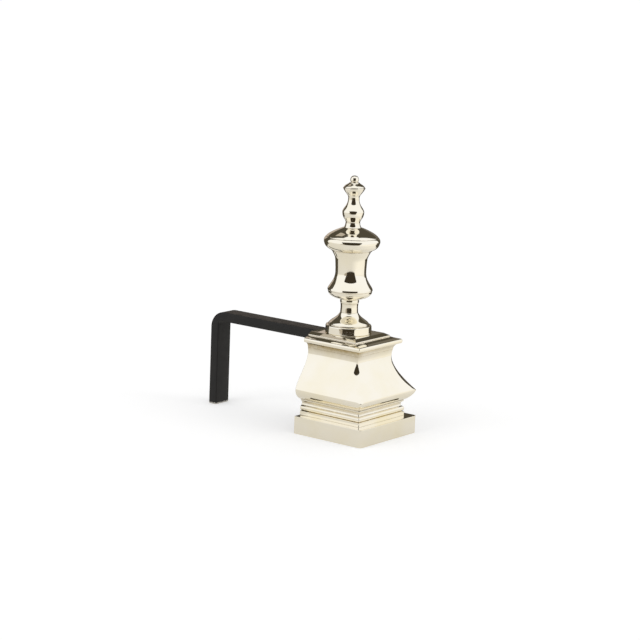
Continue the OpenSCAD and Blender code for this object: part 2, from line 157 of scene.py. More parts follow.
def step_lengths(line):
    """The length of each step of a line, by the first two numbers of its points."""
    return np.linalg.norm(np.diff(line[:, :2], axis=0), axis=1)


def by_column(change, table):
    """The table with the same change made to each of its columns."""
    return np.stack([change(column) for column in table.T], 1)


def soften(points, ease, closed=False, turn_step=6, longest=2.5):
    """The polyline blurred over ease mm, with a point for each turn_step degrees or longest mm.

    The first two numbers of a point are its place on the drawn profile. The rest follow along.
    Returns the points and, for each, how hollow the line is there, in 1/mm.
    """
    line = np.array(points, float)
    line = line[np.r_[True, step_lengths(line) > 1e-6]]
    if closed:
        line = np.vstack([line, line[:1]])
    reach = np.r_[0, np.cumsum(step_lengths(line))]
    count = int(reach[-1] / fine_step) + 1
    even, numbers = np.linspace(0, reach[-1], count), np.arange(count)
    fine = by_column(lambda column: np.interp(even, reach, column), line)
    half = int(3 * ease / fine_step) + 1
    bell = np.exp(-0.5 * (np.arange(-half, half + 1) * fine_step / ease) ** 2)
    bell /= bell.sum()
    if closed:
        before, after = fine[-half - 1 : -1], fine[1 : half + 1]
    else:
        before, after = 2 * fine[0] - fine[half:0:-1], 2 * fine[-1] - fine[-2 : -half - 2 : -1]
    padded = np.vstack([before, fine, after])
    smooth = by_column(lambda column: np.convolve(column, bell, "valid"), padded)
    heading = np.unwrap(np.arctan2(*np.diff(smooth[:, :2], axis=0).T[::-1]))
    bend, run = np.r_[0, np.diff(heading), 0], np.r_[0, step_lengths(smooth)]
    worth = np.cumsum(np.abs(bend) / math.radians(turn_step) + run / longest)
    picks = np.interp(np.linspace(0, worth[-1], int(worth[-1]) + 2), worth, numbers)
    spread = by_column(lambda column: np.interp(picks, numbers, column), smooth)
    around = np.pad(bend / fine_step, half, mode="wrap" if closed else "edge")
    return spread, np.interp(picks, numbers, np.convolve(around, bell, "valid"))


# %% [markdown]
# ## The lathe
#
# Six pieces of the spindle are turned: the profile is the same all the way round. Blender's
# Screw modifier or the Spin tool could make them. Geometry Nodes are used here, because one
# tree then serves every turned piece, and the nuts and washers too.
#
# The tree lays out a flat grid, with one row for each point of the profile and one column for
# each step round the axis. It then wraps the grid round: a grid point looks up the radius and
# the height of its row, and its column gives the angle. For a nut, the radius is held back to
# the flats of a hexagon. That also makes the curved edges that a real nut's chamfer leaves.
#
# Sums take a Math node each, which is long to write. A small class lets them be written as
# plain sums instead, and the nodes follow.

# %% Small helpers for node trees


def feed(node, **inputs):
    """Gives a node's inputs, by name or as in_0, in_1, values or what other nodes give."""
    for name, value in inputs.items():
        key = int(name[3:]) if name.startswith("in_") else name.replace("_", " ")
        if isinstance(value, Wire):
            node.id_data.links.new(value.socket, node.inputs[key])
        else:
            node.inputs[key].default_value = value
    return node


def add_node(tree, kind, settings=None, **inputs):
    """A node of that kind, with its plain settings and its inputs."""
    node = tree.nodes.new(kind)
    for name, value in (settings or {}).items():
        setattr(node, name, value)
    return feed(node, **inputs)


def sum_of(tree, operation, *values):
    """The result of a Math node with that operation on one to three values."""
    inputs = {f"in_{i}": value for i, value in enumerate(values)}
    return Wire(add_node(tree, "ShaderNodeMath", {"operation": operation}, **inputs))


class Wire:
    """What a node gives, for other nodes to take. Sums with it put in Math nodes."""

    def __init__(self, node, output=0):
        self.tree, self.socket = node.id_data, node.outputs[output]

    def math(self, operation, *others):
        return sum_of(self.tree, operation, self, *others)

    def __add__(self, other):
        return self.math("ADD", other)

    def __sub__(self, other):
        return self.math("SUBTRACT", other)

    def __mul__(self, other):
        return self.math("MULTIPLY", other)

    def __truediv__(self, other):
        return self.math("DIVIDE", other)

    def held(self):
        """The number, held between 0 and 1."""
        return self.math("MINIMUM", 1).math("MAXIMUM", 0)


# %% Helpers for geometry trees
weld = 1e-6


def new_tree(name, **inputs):
    """A geometry tree, what it is given, and its output node.

    Each input has a value to start with, or else the name of its kind.
    """
    tree = bpy.data.node_groups.new(name, "GeometryNodeTree")
    kinds = {int: "Int", float: "Float", tuple: "Vector"}
    for label, value in inputs.items():
        kind = "NodeSocket" + (value if isinstance(value, str) else kinds[type(value)])
        label = label.replace("_", " ")
        socket = tree.interface.new_socket(label, in_out="INPUT", socket_type=kind)
        if not isinstance(value, str):
            socket.default_value = value
    tree.interface.new_socket("Piece", in_out="OUTPUT", socket_type="NodeSocketGeometry")
    tree.is_modifier = True
    given = add_node(tree, "NodeGroupInput")
    return tree, [Wire(given, k) for k in range(len(inputs))], add_node(tree, "NodeGroupOutput")


def shape_node(tree, kind, geometry, settings=None, **inputs):
    """What a node makes of a geometry."""
    return Wire(add_node(tree, "GeometryNode" + kind, settings, Geometry=geometry, **inputs))


def flat_grid(tree, rows, columns):
    """A grid, and for each of its points the number of its row and of its column."""
    grid = Wire(add_node(tree, "GeometryNodeMeshGrid", Vertices_X=rows, Vertices_Y=columns))
    index = Wire(add_node(tree, "GeometryNodeInputIndex"))
    row = ((index + 0.5) / columns).math("FLOOR")
    return grid, row, index - row * columns


def wrap_round(tree, grid, radius, angle, height, stands):
    """The grid wrapped round: each point at its radius, angle and height."""
    x, y = radius * angle.math("COSINE"), radius * angle.math("SINE")
    wrapped = Wire(add_node(tree, "ShaderNodeCombineXYZ", X=x, Y=y, Z=height))
    adding = {"operation": "ADD"}
    spot = Wire(add_node(tree, "ShaderNodeVectorMath", adding, in_0=wrapped, in_1=stands))
    return shape_node(tree, "SetPosition", grid, Position=spot)


def give_out(tree, made, shape, finish):
    """The end of a tree: real faces with their finish."""
    shape = shape_node(tree, "RealizeInstances", shape)
    feed(made, in_0=shape_node(tree, "SetMaterial", shape, Material=finish))


def weld_smooth(tree, shape):
    """The shape with its meeting points welded, and shaded smooth."""
    shape = shape_node(tree, "MergeByDistance", shape, Distance=weld)
    return shape_node(tree, "SetShadeSmooth", shape)


# %% Build the lathe tree


def at_row(tree, profile, kind, value, row):
    """What the profile's point of that row has as its value."""
    settings = {"data_type": kind, "domain": "POINT"}
    return shape_node(tree, "SampleIndex", profile, settings, Value=value, Index=row)


def lathe_tree():
    tree, (profile, steps, across_flats, stands, finish), made = new_tree(
        "turn on the lathe",
        Profile="Geometry",
        Steps_round=144,
        Across_flats=0.0,
        Stands_at=(0, 0, 0),
        Finish="Material",
    )
    rows = shape_node(tree, "AttributeDomainSize", profile)
    grid, row, column = flat_grid(tree, rows, steps + 1)
    angle = column / steps * math.tau

    position = Wire(add_node(tree, "GeometryNodeInputPosition"))
    place = at_row(tree, profile, "FLOAT_VECTOR", position, row)
    apart = add_node(tree, "ShaderNodeSeparateXYZ", in_0=place)
    sixth = math.tau / 6
    off_flat = angle.math("MODULO", sixth) - sixth / 2
    flat = across_flats * 0.5 / off_flat.math("COSINE")
    is_round = across_flats.math("LESS_THAN", 1e-6)
    radius = Wire(apart, "X").math("MINIMUM", flat + is_round)
    turned = wrap_round(tree, grid, radius, angle, Wire(apart, "Z"), stands)

    single = {"data_type": "FLOAT"}
    own = Wire(add_node(tree, "GeometryNodeInputNamedAttribute", single, Name="groove"))
    deep = at_row(tree, profile, "FLOAT", own, row)
    stored = {"data_type": "FLOAT", "domain": "POINT"}
    kept = shape_node(tree, "StoreNamedAttribute", turned, stored, Name="groove", Value=deep)
    give_out(tree, made, weld_smooth(tree, kept), finish)
    return tree


lathe = lathe_tree()
print("the lathe tree has", len(lathe.nodes), "nodes")

# %% [markdown]
# A tree runs as a modifier on an object that holds the profile's points. The result is then
# turned into a plain mesh, and the modifier goes away, because a finished piece carries its own
# vertices. Last, the faces are made to point outwards.

# %% Helpers for meshes


def link_new(name, mesh):
    item = bpy.data.objects.new(name, mesh)
    scene.collection.objects.link(item)
    return item


def mesh_of(work, name):
    """The finished bmesh as a mesh of that name."""
    mesh = bpy.data.meshes.new(name)
    work.to_mesh(mesh)
    work.free()
    return mesh


def skin(work, rows, ring=False):
    """Smooth faces between each row of points and the next, and round the end of a ring."""
    for low, high in zip(rows, rows[1:]):
        for k in range(len(low) if ring else len(low) - 1):
            n = (k + 1) % len(low)
            work.faces.new((low[k], low[n], high[n], high[k])).smooth = True


def face_out(mesh):
    """Turns the faces of a closed mesh outwards."""
    work = bmesh.new()
    work.from_mesh(mesh)
    bmesh.ops.recalc_face_normals(work, faces=work.faces)
    work.to_mesh(mesh)
    work.free()


def settle(piece):
    """Makes what the object's modifiers show into its own plain mesh."""
    ready = piece.evaluated_get(bpy.context.evaluated_depsgraph_get())
    mesh = bpy.data.meshes.new_from_object(ready)
    piece.modifiers.clear()
    piece.data = mesh


# %% Run a tree and keep its mesh


def run_tree(name, tree, start, **inputs):
    """The mesh that a tree makes of a starting mesh, as a plain object."""
    piece = link_new(name, start)
    maker = piece.modifiers.new("maker", "NODES")
    maker.node_group = tree
    for item in tree.interface.items_tree:
        label = item.name.replace(" ", "_")
        if item.in_out == "INPUT" and label in inputs:
            maker[item.identifier] = inputs[label]
    settle(piece)
    piece.data.name = name
    face_out(piece.data)
    return piece


def profile_mesh(name, points, groove):
    """The profile as loose points: x is the radius and z the height, in metres."""
    mesh = bpy.data.meshes.new(name)
    mesh.from_pydata([(r * MM, 0, z * MM) for r, z in points], [], [])
    depth = mesh.attributes.new("groove", "FLOAT", "POINT")
    depth.data.foreach_set("value", np.asarray(groove, np.float32))
    return mesh

# %% [markdown]
# ## The turned profiles
#
# Each piece is drawn by the values of the CAD model, in millimetres, from its own foot up. The
# line runs round the metal: out along the foot, up the outside, in along the top, and down the
# hole for the tie rod. The two pieces at the top aren't bored through: the finial has a blind
# hole at each end, and the tip has a screw.
#
# Where the line is hollow, and where two pieces meet, old polish gathers and goes brown. That
# is stored beside each point as the number groove, for the brass to read later.

# %% Sizes of the stack
plinth_h, deck_t, base_h, body_h = 22, 4, 19.5, 63
cove_h, band_h, top_h, top_edge_h, top_plate_t = 7.5, 5.5, 2, 4.5, 2.5
foot_h, stem_h, vase_h, cover_h, finial_h, tip_h = 25, 17, 59, 28.5, 54.5, 8.5
base_z = plinth_h
body_z = base_z + base_h
cap_z = body_z + body_h
edge_z = cap_z + cove_h + band_h + top_h
plate_z = edge_z + top_edge_h
stem_z = plate_z + foot_h
vase_z = stem_z + stem_h
cover_z = vase_z + vase_h
finial_z = cover_z + cover_h
tip_z = finial_z + finial_h
rod_r, bore_r, rod_grip, rod_run_out = 5, 5.5, 18, 1.5
quirk = 0.4
print("stack height:", tip_z + tip_h, "mm, CAD", round(cad_high.z / MM, 2), "mm")

# %% Foot and stem
foot_r, stem_r, ring_r = 28.5, 10.6, 11.6
stem_foot_r = stem_r + 0.4


def foot_profile():
    drum_h = 0.4 * foot_h
    bell_h = foot_h - drum_h
    shoulder_r, roll = foot_r - 3.3, 1.8
    return (
        [(foot_r - 0.6, 0), (foot_r, 0.6)]
        + arc((foot_r - 0.4 - roll, drum_h - roll), roll, 0, 90)
        + [(shoulder_r, drum_h + quirk / 4), (shoulder_r, drum_h + 0.07 * bell_h)]
        + sweep(
            (shoulder_r - quirk, drum_h + 0.09 * bell_h),
            (0.79 * foot_r, drum_h + 0.37 * bell_h),
            (1.28 * stem_foot_r, drum_h + 0.53 * bell_h),
            (stem_foot_r, foot_h),
        )
    )


def stem_profile():
    ring_h, slender_z = 0.27 * stem_h, 0.42 * stem_h
    ring_c, ring_foot_r = stem_h - 0.8 - ring_h / 2, stem_r + quirk
    ring = [
        (between(ring_foot_r, ring_r, math.cos(a)), ring_c + ring_h / 2 * math.sin(a))
        for a in (math.radians(between(-90, 90, t)) for t in shares(24))
    ]
    return (
        sweep(
            (stem_foot_r, 0),
            (stem_r + quirk / 2, 0.4 * slender_z),
            (stem_r, 0.8 * slender_z),
            (stem_r, slender_z),
        )
        + [(ring_foot_r, ring_c - ring_h / 2 - quirk / 4)]
        + ring
        + [(stem_r + 0.6, stem_h - 0.8), (stem_r + 0.6, stem_h)]
    )


# %% Vase
vase_r, vase_rim_r, vase_mouth_r = 18.8, 27.6, 24


def vase_profile():
    rim_roll, under_h, rim_z = 1.5, 0.15 * vase_h, 0.19 * vase_h
    waist_low, waist_high, waist_high_r = 0.54 * vase_h, 0.78 * vase_h, 1.03 * vase_r
    return (
        sweep(
            (1.13 * stem_r, 0),
            (0.71 * vase_rim_r, 0.07 * under_h),
            (0.91 * vase_rim_r, 0.4 * under_h),
            (0.97 * vase_rim_r, 0.89 * under_h),
        )
        + arc((vase_rim_r - rim_roll, rim_z), rim_roll, -50, 31)
        + sweep(
            (0.982 * vase_rim_r, rim_z + 0.033 * vase_h),
            (between(vase_r, vase_rim_r, 0.386), 0.356 * vase_h),
            (1.032 * vase_r, 0.398 * vase_h),
            (vase_r, waist_low),
        )
        + sweep(
            (vase_r, between(waist_low, waist_high, 0.15)),
            (vase_r, between(waist_low, waist_high, 0.4)),
            (1.015 * vase_r, between(waist_low, waist_high, 0.7)),
            (waist_high_r, waist_high),
        )
        + sweep(
            (waist_high_r + quirk / 4, waist_high + 0.02 * vase_h),
            (1.05 * vase_r, 0.88 * vase_h),
            (0.9 * vase_mouth_r, 0.91 * vase_h),
            (vase_mouth_r, vase_h),
        )
    )


# %% Cover of the vase
cover_r, finial_neck_r = 34.4, 6.9
finial_foot_r = finial_neck_r + 3.8


def cover_profile():
    seat_r, line_w, roll, roll_z = vase_mouth_r + 2 * quirk, 0.6, 6.2, 0.42 * cover_h
    line_r, line_z = cover_r - 2.8, roll_z + 0.77 * roll
    return (
        [(seat_r, 0), (seat_r, line_w)]
        + sweep(
            (seat_r, 2 * quirk),
            (between(vase_mouth_r, cover_r, 0.34), 0.07 * cover_h),
            (between(vase_mouth_r, cover_r, 0.72), 0.13 * cover_h),
            (between(vase_mouth_r, cover_r, 0.885), roll_z - 0.72 * roll),
        )
        + arc((cover_r - roll, roll_z), roll, -26, 50)
        + [(line_r, line_z + quirk / 4), (line_r, line_z + quirk)]
        + sweep(
            (line_r, line_z + line_w),
            (line_r - quirk * 6, line_z + 0.14 * cover_h),
            (between(finial_foot_r, line_r, 0.4), 0.9 * cover_h),
            (finial_foot_r, cover_h),
        )
    )


# %% Finial and tip
ball_r, collar_r, tip_r = 13.3, 13.6, 5.2
tip_screw_r, tip_screw_l = 2.5, 12


def finial_profile():
    low_z, ball_z, neck_z, collar_z = (share * finial_h for share in (0.12, 0.34, 0.64, 0.885))
    low_r, top_r = 1.28 * finial_neck_r, tip_r + 0.9
    low_out = low_r + 1.5 * quirk
    return (
        sweep((finial_foot_r, 0), (low_out, 0.3 * low_z), (low_r, 0.6 * low_z), (low_r, low_z))
        + sweep(
            (low_r, low_z),
            (low_out, between(low_z, ball_z, 0.33)),
            (ball_r, between(low_z, ball_z, 0.42)),
            (ball_r, ball_z),
        )
        + sweep(
            (ball_r, ball_z),
            (ball_r, between(ball_z, neck_z, 0.3)),
            (finial_neck_r, between(ball_z, neck_z, 0.45)),
            (finial_neck_r, neck_z),
        )
        + sweep(
            (finial_neck_r, between(neck_z, collar_z, 0.11)),
            (finial_neck_r, between(neck_z, collar_z, 0.37)),
            (0.78 * collar_r, between(neck_z, collar_z, 0.51)),
            (0.98 * collar_r, between(neck_z, collar_z, 0.925)),
        )
        + arc((collar_r - 0.7, collar_z - quirk), 0.7, -40, 80)
        + sweep(
            (0.935 * collar_r, between(collar_z, finial_h, 0.08)),
            (0.9 * collar_r, between(collar_z, finial_h, 0.51)),
            (top_r + 1.3, between(collar_z, finial_h, 0.7)),
            (top_r, finial_h),
        )
    )


def tip_profile():
    neck_h, edge_r = 0.9, 1.2
    return (
        [(tip_r - 0.8, 0), (tip_r - 0.8, neck_h)]
        + arc((tip_r - edge_r, neck_h + edge_r + quirk), edge_r, -70, 0)
        + sweep(
            (tip_r, neck_h + edge_r + 2 * quirk),
            (tip_r, 0.75 * tip_h),
            (0.69 * tip_r, tip_h),
            (quirk, tip_h),
        )
    )


# %% Turn the six pieces
brass = bpy.data.materials.new("polished brass")
pieces = {}
spindle_ease, joint_spread, joint_dirt, casting_dirt = 0.16, 0.4, 0.3, 0.25
hollow_least, hollow_range = 0.15, 0.8


def dirt_in(bulge):
    """How much polish stays where a line is that hollow, from 0 to 1."""
    return np.clip((-bulge - hollow_least) / hollow_range, 0, 1)


def fade(distance, spread):
    """1 at no distance, fading away over that spread."""
    return np.exp(-((distance / spread) ** 2))


def turn(name, node, outside, height, foot_z, inside=None):
    """One turned piece. inside is the line of its hollow, from the top down to the foot."""
    bored = inside is None
    inside = inside or [(bore_r, height), (bore_r, 0)]
    line, bulge = soften(outside + inside, spindle_ease, closed=bored)
    z = line[:, 1]
    near_joint = fade(np.minimum(z, height - z), joint_spread)
    groove = np.maximum(dirt_in(bulge), joint_dirt * near_joint * (z > -0.1))
    mesh = profile_mesh(name + "_profile", line, groove)
    piece = run_tree(
        name, lathe, mesh, Stands_at=Vector((0, axis_y, foot_z * MM)), Finish=brass
    )
    pieces[name] = (piece, [node], "polished_brass")
    print(f"{name}: {len(line)} rows, {len(piece.data.polygons)} faces")


turn("turned_foot", "spindle_foot", foot_profile(), foot_h, plate_z)
turn("turned_stem", "spindle_stem", stem_profile(), stem_h, stem_z)
turn("turned_vase", "vase", vase_profile(), vase_h, vase_z)
turn("turned_cover", "vase_cover", cover_profile(), cover_h, cover_z)
blind, screw_end = rod_grip + rod_run_out, finial_h - (tip_screw_l + rod_run_out)
rod_hole = [(0, blind), (rod_r, blind), (rod_r, 0)]
screw_hole = [(tip_screw_r, finial_h), (tip_screw_r, screw_end), (0, screw_end)]
turn("turned_finial", "finial", rod_hole + finial_profile(), finial_h, finial_z, screw_hole)
screw = [(0, -tip_screw_l), (tip_screw_r, -tip_screw_l), (tip_screw_r, 0)]
turn("turned_tip", "tip_button", screw + tip_profile(), tip_h, tip_z, [(0, tip_h)])

# %% [markdown]
# ## The pedestal castings
#
# The plinth, the moulding on it, the curved body and the cornice are separate sand castings.
# Each has three sides and is open at the back and below, which saves brass and lets the bar in.
#
# A casting like this could be a subdivision surface, but its mitred corners have to stay crisp
# while the corners of the body soften half way up. A loft does both. Each level is a height, a
# half width, how far the front stands out, and a corner radius. The line of levels goes up the
# outside and down the inside, and each level is drawn out into one three-sided outline.
#
# The finish differs by place: polished outside, rough from the sand inside, and filed flat on
# the rims. A fifth number follows each level, 0 outside and 1 inside, and says which is which.

# %% One outline of a casting
back_reach, wall = 34, 4
cast = bpy.data.materials.new("brass as cast")
filed = bpy.data.materials.new("filed brass")
rim_ease, first_ease, least_r, beside_corner = 0.35, 0.1, 0.02, 0.7
corner_turns = [math.radians(a) for a in np.linspace(0, 90, 25)]


def outline_of(side, front, r, back_side):
    """Points of one three-sided outline, from the back left round the front to the back right."""
    r = min(max(r, least_r), 0.95 * side + 1e-4)
    near = min(beside_corner, 0.2 * (side + 0.01))
    corner = [(side - r + r * math.cos(a), -front + r - r * math.sin(a)) for a in corner_turns]
    flat = side - r
    half = (
        [(back_side[0], back_reach), (back_side[1], back_reach - first_ease)]
        + [(side, back_reach - rim_ease)]
        + [(side, between(back_reach, r - front, t)) for t in (0.3, 0.6, 0.9)]
        + [(side, r - front + near)]
        + corner
        + [(max(flat - near, 0), -front), (flat * 0.6, -front), (flat * 0.25, -front)]
    )
    left = [(-x, y) for x, y in half]
    return left + [(0, -front)] + half[::-1]


def points_at(level, into, rim):
    """The outline at one level, its back ends eased inwards, as points in mm."""
    side, z, front, r, _ = level
    back_side = (max(side + rim[0] * rim_ease, 0), max(side + into[0] * first_ease, 0))
    points = outline_of(max(side, 0), front, r, back_side)
    lift = [0] * len(points)
    lift[0] = lift[-1] = rim[1] * rim_ease
    lift[1] = lift[-2] = into[1] * first_ease
    return [(x, y, z + up) for (x, y), up in zip(points, lift)]


# %% [markdown]
# The cut ends at the back get a softened edge too: the outline of the end is drawn in a little.
# In a corner tighter than that, the drawn-in line crosses itself and makes a small loop, and a
# face with such a loop fills wrongly and shows as a black triangle. So the points of a loop are
# drawn to the crossing, and the script prints how well each casting's ends are filled.

# %% Ends without folds
loop_reach, end_corners = 30, 60


def crossing(a, b, c, d):
    """Where the step from a to b crosses the step from c to d, or None."""
    ab, cd, ac = b - a, d - c, c - a
    across = ab[0] * cd[1] - ab[1] * cd[0]
    if abs(across) < 1e-12:
        return None
    on_ab = (ac[0] * cd[1] - ac[1] * cd[0]) / across
    on_cd = (ac[0] * ab[1] - ac[1] * ab[0]) / across
    return a + ab * on_ab if 0 <= on_ab <= 1 and 0 <= on_cd <= 1 else None


def unfolded(line, inward, ease, closed):
    """Inward directions for an edge eased by that much, without the folds."""
    spots = line + inward * ease
    count = len(spots)
    for i in range(count if closed else count - 1):
        for j in range(i + loop_reach, i + 1, -1):
            if not closed and j + 1 >= count:
                continue
            meet = crossing(*(spots[k % count] for k in (i, i + 1, j, j + 1)))
            if meet is not None:
                spots[[k % count for k in range(i + 1, j + 1)]] = meet
                break
    return (spots - line) / ease


def end_fill_error(mesh):
    """How far the triangles of the cut ends add up to more than the ends' own area, in mm2."""
    work = bmesh.new()
    work.from_mesh(mesh)
    ends = [f for f in work.faces if f.material_index == 2 and len(f.verts) > end_corners]
    filled = sum(
        (b.vert.co - a.vert.co).cross(c.vert.co - a.vert.co).length / 2
        for a, b, c in work.calc_loop_triangles()
        if a.face in ends
    )
    own = sum(face.calc_area() for face in ends)
    work.free()
    return (filled - own) / MM**2


def drop_flaps(work):
    """Takes away the slivers that hang on a closed skin by one edge, left where points merged."""
    for _ in range(4):
        flaps = [
            face
            for face in work.faces
            if any(len(edge.link_faces) == 1 for edge in face.edges)
            and any(len(edge.link_faces) > 2 for edge in face.edges)
        ]
        bmesh.ops.delete(work, geom=flaps, context="FACES")


# %% Directions and marks of the levels
least_brown, edge_from = 0.4, 0.8


def inward_of(line, closed):
    """For each level the direction into the metal, across the drawn line."""
    after, before = np.roll(line, -1, axis=0), np.roll(line, 1, axis=0)
    if not closed:
        after[-1], before[0] = line[-1], line[0]
    along = after[:, :2] - before[:, :2]
    along /= np.linalg.norm(along, axis=1)[:, None]
    return np.stack([-along[:, 1], along[:, 0]], 1)


def marks_of(line, bulge, joints, stains):
    """How much polish residue and how much darkening each level has, both only outside.

    A joint is a height. A darkening is a height, how far down it spreads, and how brown it is.
    """
    z, outside = line[:, 1], line[:, 4] < 0.5
    groove, stain = dirt_in(bulge), np.zeros(len(line))
    for joint in joints:
        groove = np.maximum(groove, casting_dirt * fade(z - joint, joint_spread))
    for height, spread, share in stains:
        stain = np.maximum(stain, (z <= height + 0.1) * share * fade(z - height, spread))
    return groove * outside, stain * outside


def left_share(x, side):
    """The darkening's share across: full on the left side, less elsewhere."""
    at_left = (-x / max(side, 1) - edge_from) / (1 - edge_from)
    return between(least_brown, 1, min(max(at_left, 0), 1))


# %% Loft through levels
outside_only, inside_only = 0.06, 0.94


def loft(name, node, levels, closed=True, joints=(), stains=(), ease=0.2):
    """A casting through levels of (side, height, front, corner radius, inside or not)."""
    line, bulge = soften(levels, ease, closed=closed, longest=4)
    if closed:
        line, bulge = line[:-1], bulge[:-1]
    inward = inward_of(line, closed)
    at_rim = unfolded(line[:, :2], inward, rim_ease, closed)
    groove, stain = marks_of(line, bulge, joints, stains)
    work = bmesh.new()
    depth = work.verts.layers.float.new("groove")
    brown = work.verts.layers.float.new("stain")
    rows = []
    for level, into, rim, dark, toned in zip(line, inward, at_rim, groove, stain):
        row = []
        for x, y, z in points_at(level, into, rim):
            vert = work.verts.new((x * MM, axis_y + y * MM, z * MM))
            vert[depth] = dark
            vert[brown] = toned * left_share(x, level[0])
            row.append(vert)
        rows.append(row)
    for k in range(len(rows) if closed else len(rows) - 1):
        n = (k + 1) % len(rows)
        low, high = rows[k], rows[n]
        kind = (line[k][4] + line[n][4]) / 2
        finish = 0 if kind < outside_only else 1 if kind > inside_only else 2
        for i in range(len(low) - 1):
            face = work.faces.new((low[i], high[i], high[i + 1], low[i + 1]))
            face.material_index = finish
            face.smooth = True
    for end in (0, -1):
        work.faces.new([row[end] for row in rows]).material_index = 2
    bmesh.ops.remove_doubles(work, verts=work.verts, dist=2 * weld)
    bmesh.ops.dissolve_degenerate(work, edges=work.edges, dist=weld)
    drop_flaps(work)
    mesh = mesh_of(work, name)
    face_out(mesh)
    for material in (brass, cast, filed):
        mesh.materials.append(material)
    pieces[name] = (link_new(name, mesh), [node], "polished_brass")
    print(f"{name}: {len(line)} levels, {len(mesh.polygons)} faces", end=", ")
    print("cut ends filled to within", round(end_fill_error(mesh), 3), "mm2")


def shell_levels(outside):
    """A closed line of levels: up the outside, then down the inside, a wall further in."""
    up = [(side, z, front, r, 0) for z, side, front, r in outside]
    down = [(s - wall, z, f - wall, max(r - wall, 0.8), 1) for z, s, f, r in outside]
    return up + down[::-1]


def level_at(z, share, start, stop, r):
    """A level that share of the way from one (side, front) to another."""
    return (z, between(start[0], stop[0], share), between(start[1], stop[1], share), r)


# %% Plinth
plinth_side, plinth_front, plinth_corner = 57, 68, 4
base_side, base_front_more = 46.5, 10
deck_side, deck_front = base_side - wall, base_side + base_front_more - wall
inner_side, inner_front = plinth_side - wall, plinth_front - wall
under_deck = plinth_h - deck_t
loft(
    "cast_plinth",
    "plinth",
    [
        (plinth_side, 0, plinth_front, plinth_corner, 0),
        (plinth_side, plinth_h, plinth_front, plinth_corner, 0),
        (deck_side, plinth_h, deck_front, 1, 0),
        (deck_side, under_deck, deck_front, 1, 1),
        (inner_side, under_deck, inner_front, 1, 1),
        (inner_side, 0, inner_front, 1, 1),
    ],
    ease=0.3,
)

# %% Moulding between the plinth and the body
torus_r, cove_depth = 3.3, 2.4


def base_profile():
    fillet_h, lip_h, lip_in = 5.4, 1.6, 0.6
    torus_z, torus_c = base_z + fillet_h + torus_r, base_side - torus_r
    cove_z, lip_z, lip_side = torus_z + torus_r + 2 * quirk, body_z - lip_h, base_side - lip_in
    cove = [
        (
            between(torus_c + quirk, lip_side - lip_in, t)
            - cove_depth * math.sin(math.pi * t) / 2,
            between(cove_z, lip_z, t),
        )
        for t in shares(30)[1:]
    ]
    return (
        [
            (base_side, base_z),
            (base_side, base_z + fillet_h - quirk),
            (torus_c + quirk, base_z + fillet_h),
        ]
        + arc((torus_c, torus_z), torus_r, -80, 80)
        + [(torus_c + quirk, cove_z)]
        + cove
        + [(lip_side, lip_z + quirk / 2), (lip_side, body_z)]
    )


# The top of the moulding, just under the body, is made a little browner, fading downward.
loft(
    "cast_base",
    "base_moulding",
    shell_levels([(z, side, side + base_front_more, 1) for side, z in base_profile()]),
    joints=(base_z, body_z),
    stains=((body_z, 16, 0.12),),
)

# %% Curved body
belly_rise, belly_side, belly_front = 12.5, 57, 66.5
neck_side, neck_front, neck_flare, neck_drop = 34.8, 42.3, 0.9, 6.5
# Just under the cornice band the cove is made browner, fading downward over 9 mm.
cove_darkening = ((cap_z + cove_h, 9, 0.95),)


def body_outside():
    seat = (base_side - 1.2, base_side + base_front_more - 2)
    belly, neck = (belly_side, belly_front), (neck_side, neck_front)
    belly_z, neck_z = body_z + belly_rise, cap_z - neck_drop
    seat_r, under_r, belly_r, flank_r, throat_r, neck_r = 1.5, 7.6, 2.5, 32, 10.2, 1.2
    levels = []
    for t in shares(40):
        z = between(body_z, belly_z, curve((0, 0.08, 0.44, 1), t))
        r = curve((seat_r, under_r, under_r, belly_r), t)
        levels.append(level_at(z, curve((0, 0.34, 0.96, 1), t), seat, belly, r))
    for t in shares(80)[1:]:
        z = between(belly_z, neck_z, curve((0, 0.23, 0.68, 1), t))
        r = curve((belly_r, flank_r, throat_r, neck_r), t)
        levels.append(level_at(z, curve((0, 0, 0.946, 1), t), belly, neck, r))
    for t in shares(20)[1:]:
        z, flare = between(neck_z, cap_z, t), neck_flare * t**2
        levels.append((z, neck_side + flare, neck_front + flare, neck_r))
    return levels


loft(
    "cast_body",
    "pedestal_body",
    shell_levels(body_outside()),
    joints=(body_z, cap_z),
    stains=cove_darkening,
)

# %% [markdown]
# ## Drilled holes and cast ribs
#
# The cornice carries a flat top plate, so its line of levels starts at the axis under the
# plate, goes round the metal and comes back to the axis on top. The hole for the tie rod is
# drilled with a Boolean modifier, as the real one is drilled after casting. Two short ribs
# under the plate keep the bar from turning. They are bars with rounded edges, run 0.5 mm into
# the plate so that they are one casting with it.

# %% Helpers: drill a hole, and a bar with rounded edges
drill_sides = 96


def drill(piece, z_from, z_to):
    """Cuts the tie rod's round upright hole between two heights, in mm."""
    work = bmesh.new()
    turns = [math.tau * k / drill_sides for k in range(drill_sides)]
    round_it = [(bore_r * math.cos(a) * MM, axis_y + bore_r * math.sin(a) * MM) for a in turns]
    ends = [[work.verts.new((x, y, z * MM)) for x, y in round_it] for z in (z_from, z_to)]
    skin(work, ends, ring=True)
    work.faces.new(ends[0][::-1])
    work.faces.new(ends[1])
    tool = link_new("drill", mesh_of(work, "drill"))
    cut = piece.modifiers.new("drill", "BOOLEAN")
    cut.operation, cut.object, cut.solver = "DIFFERENCE", tool, "EXACT"
    settle(piece)
    bpy.data.objects.remove(tool)
    print(f"{piece.name}: drilled {2 * bore_r} mm, {len(piece.data.polygons)} faces")


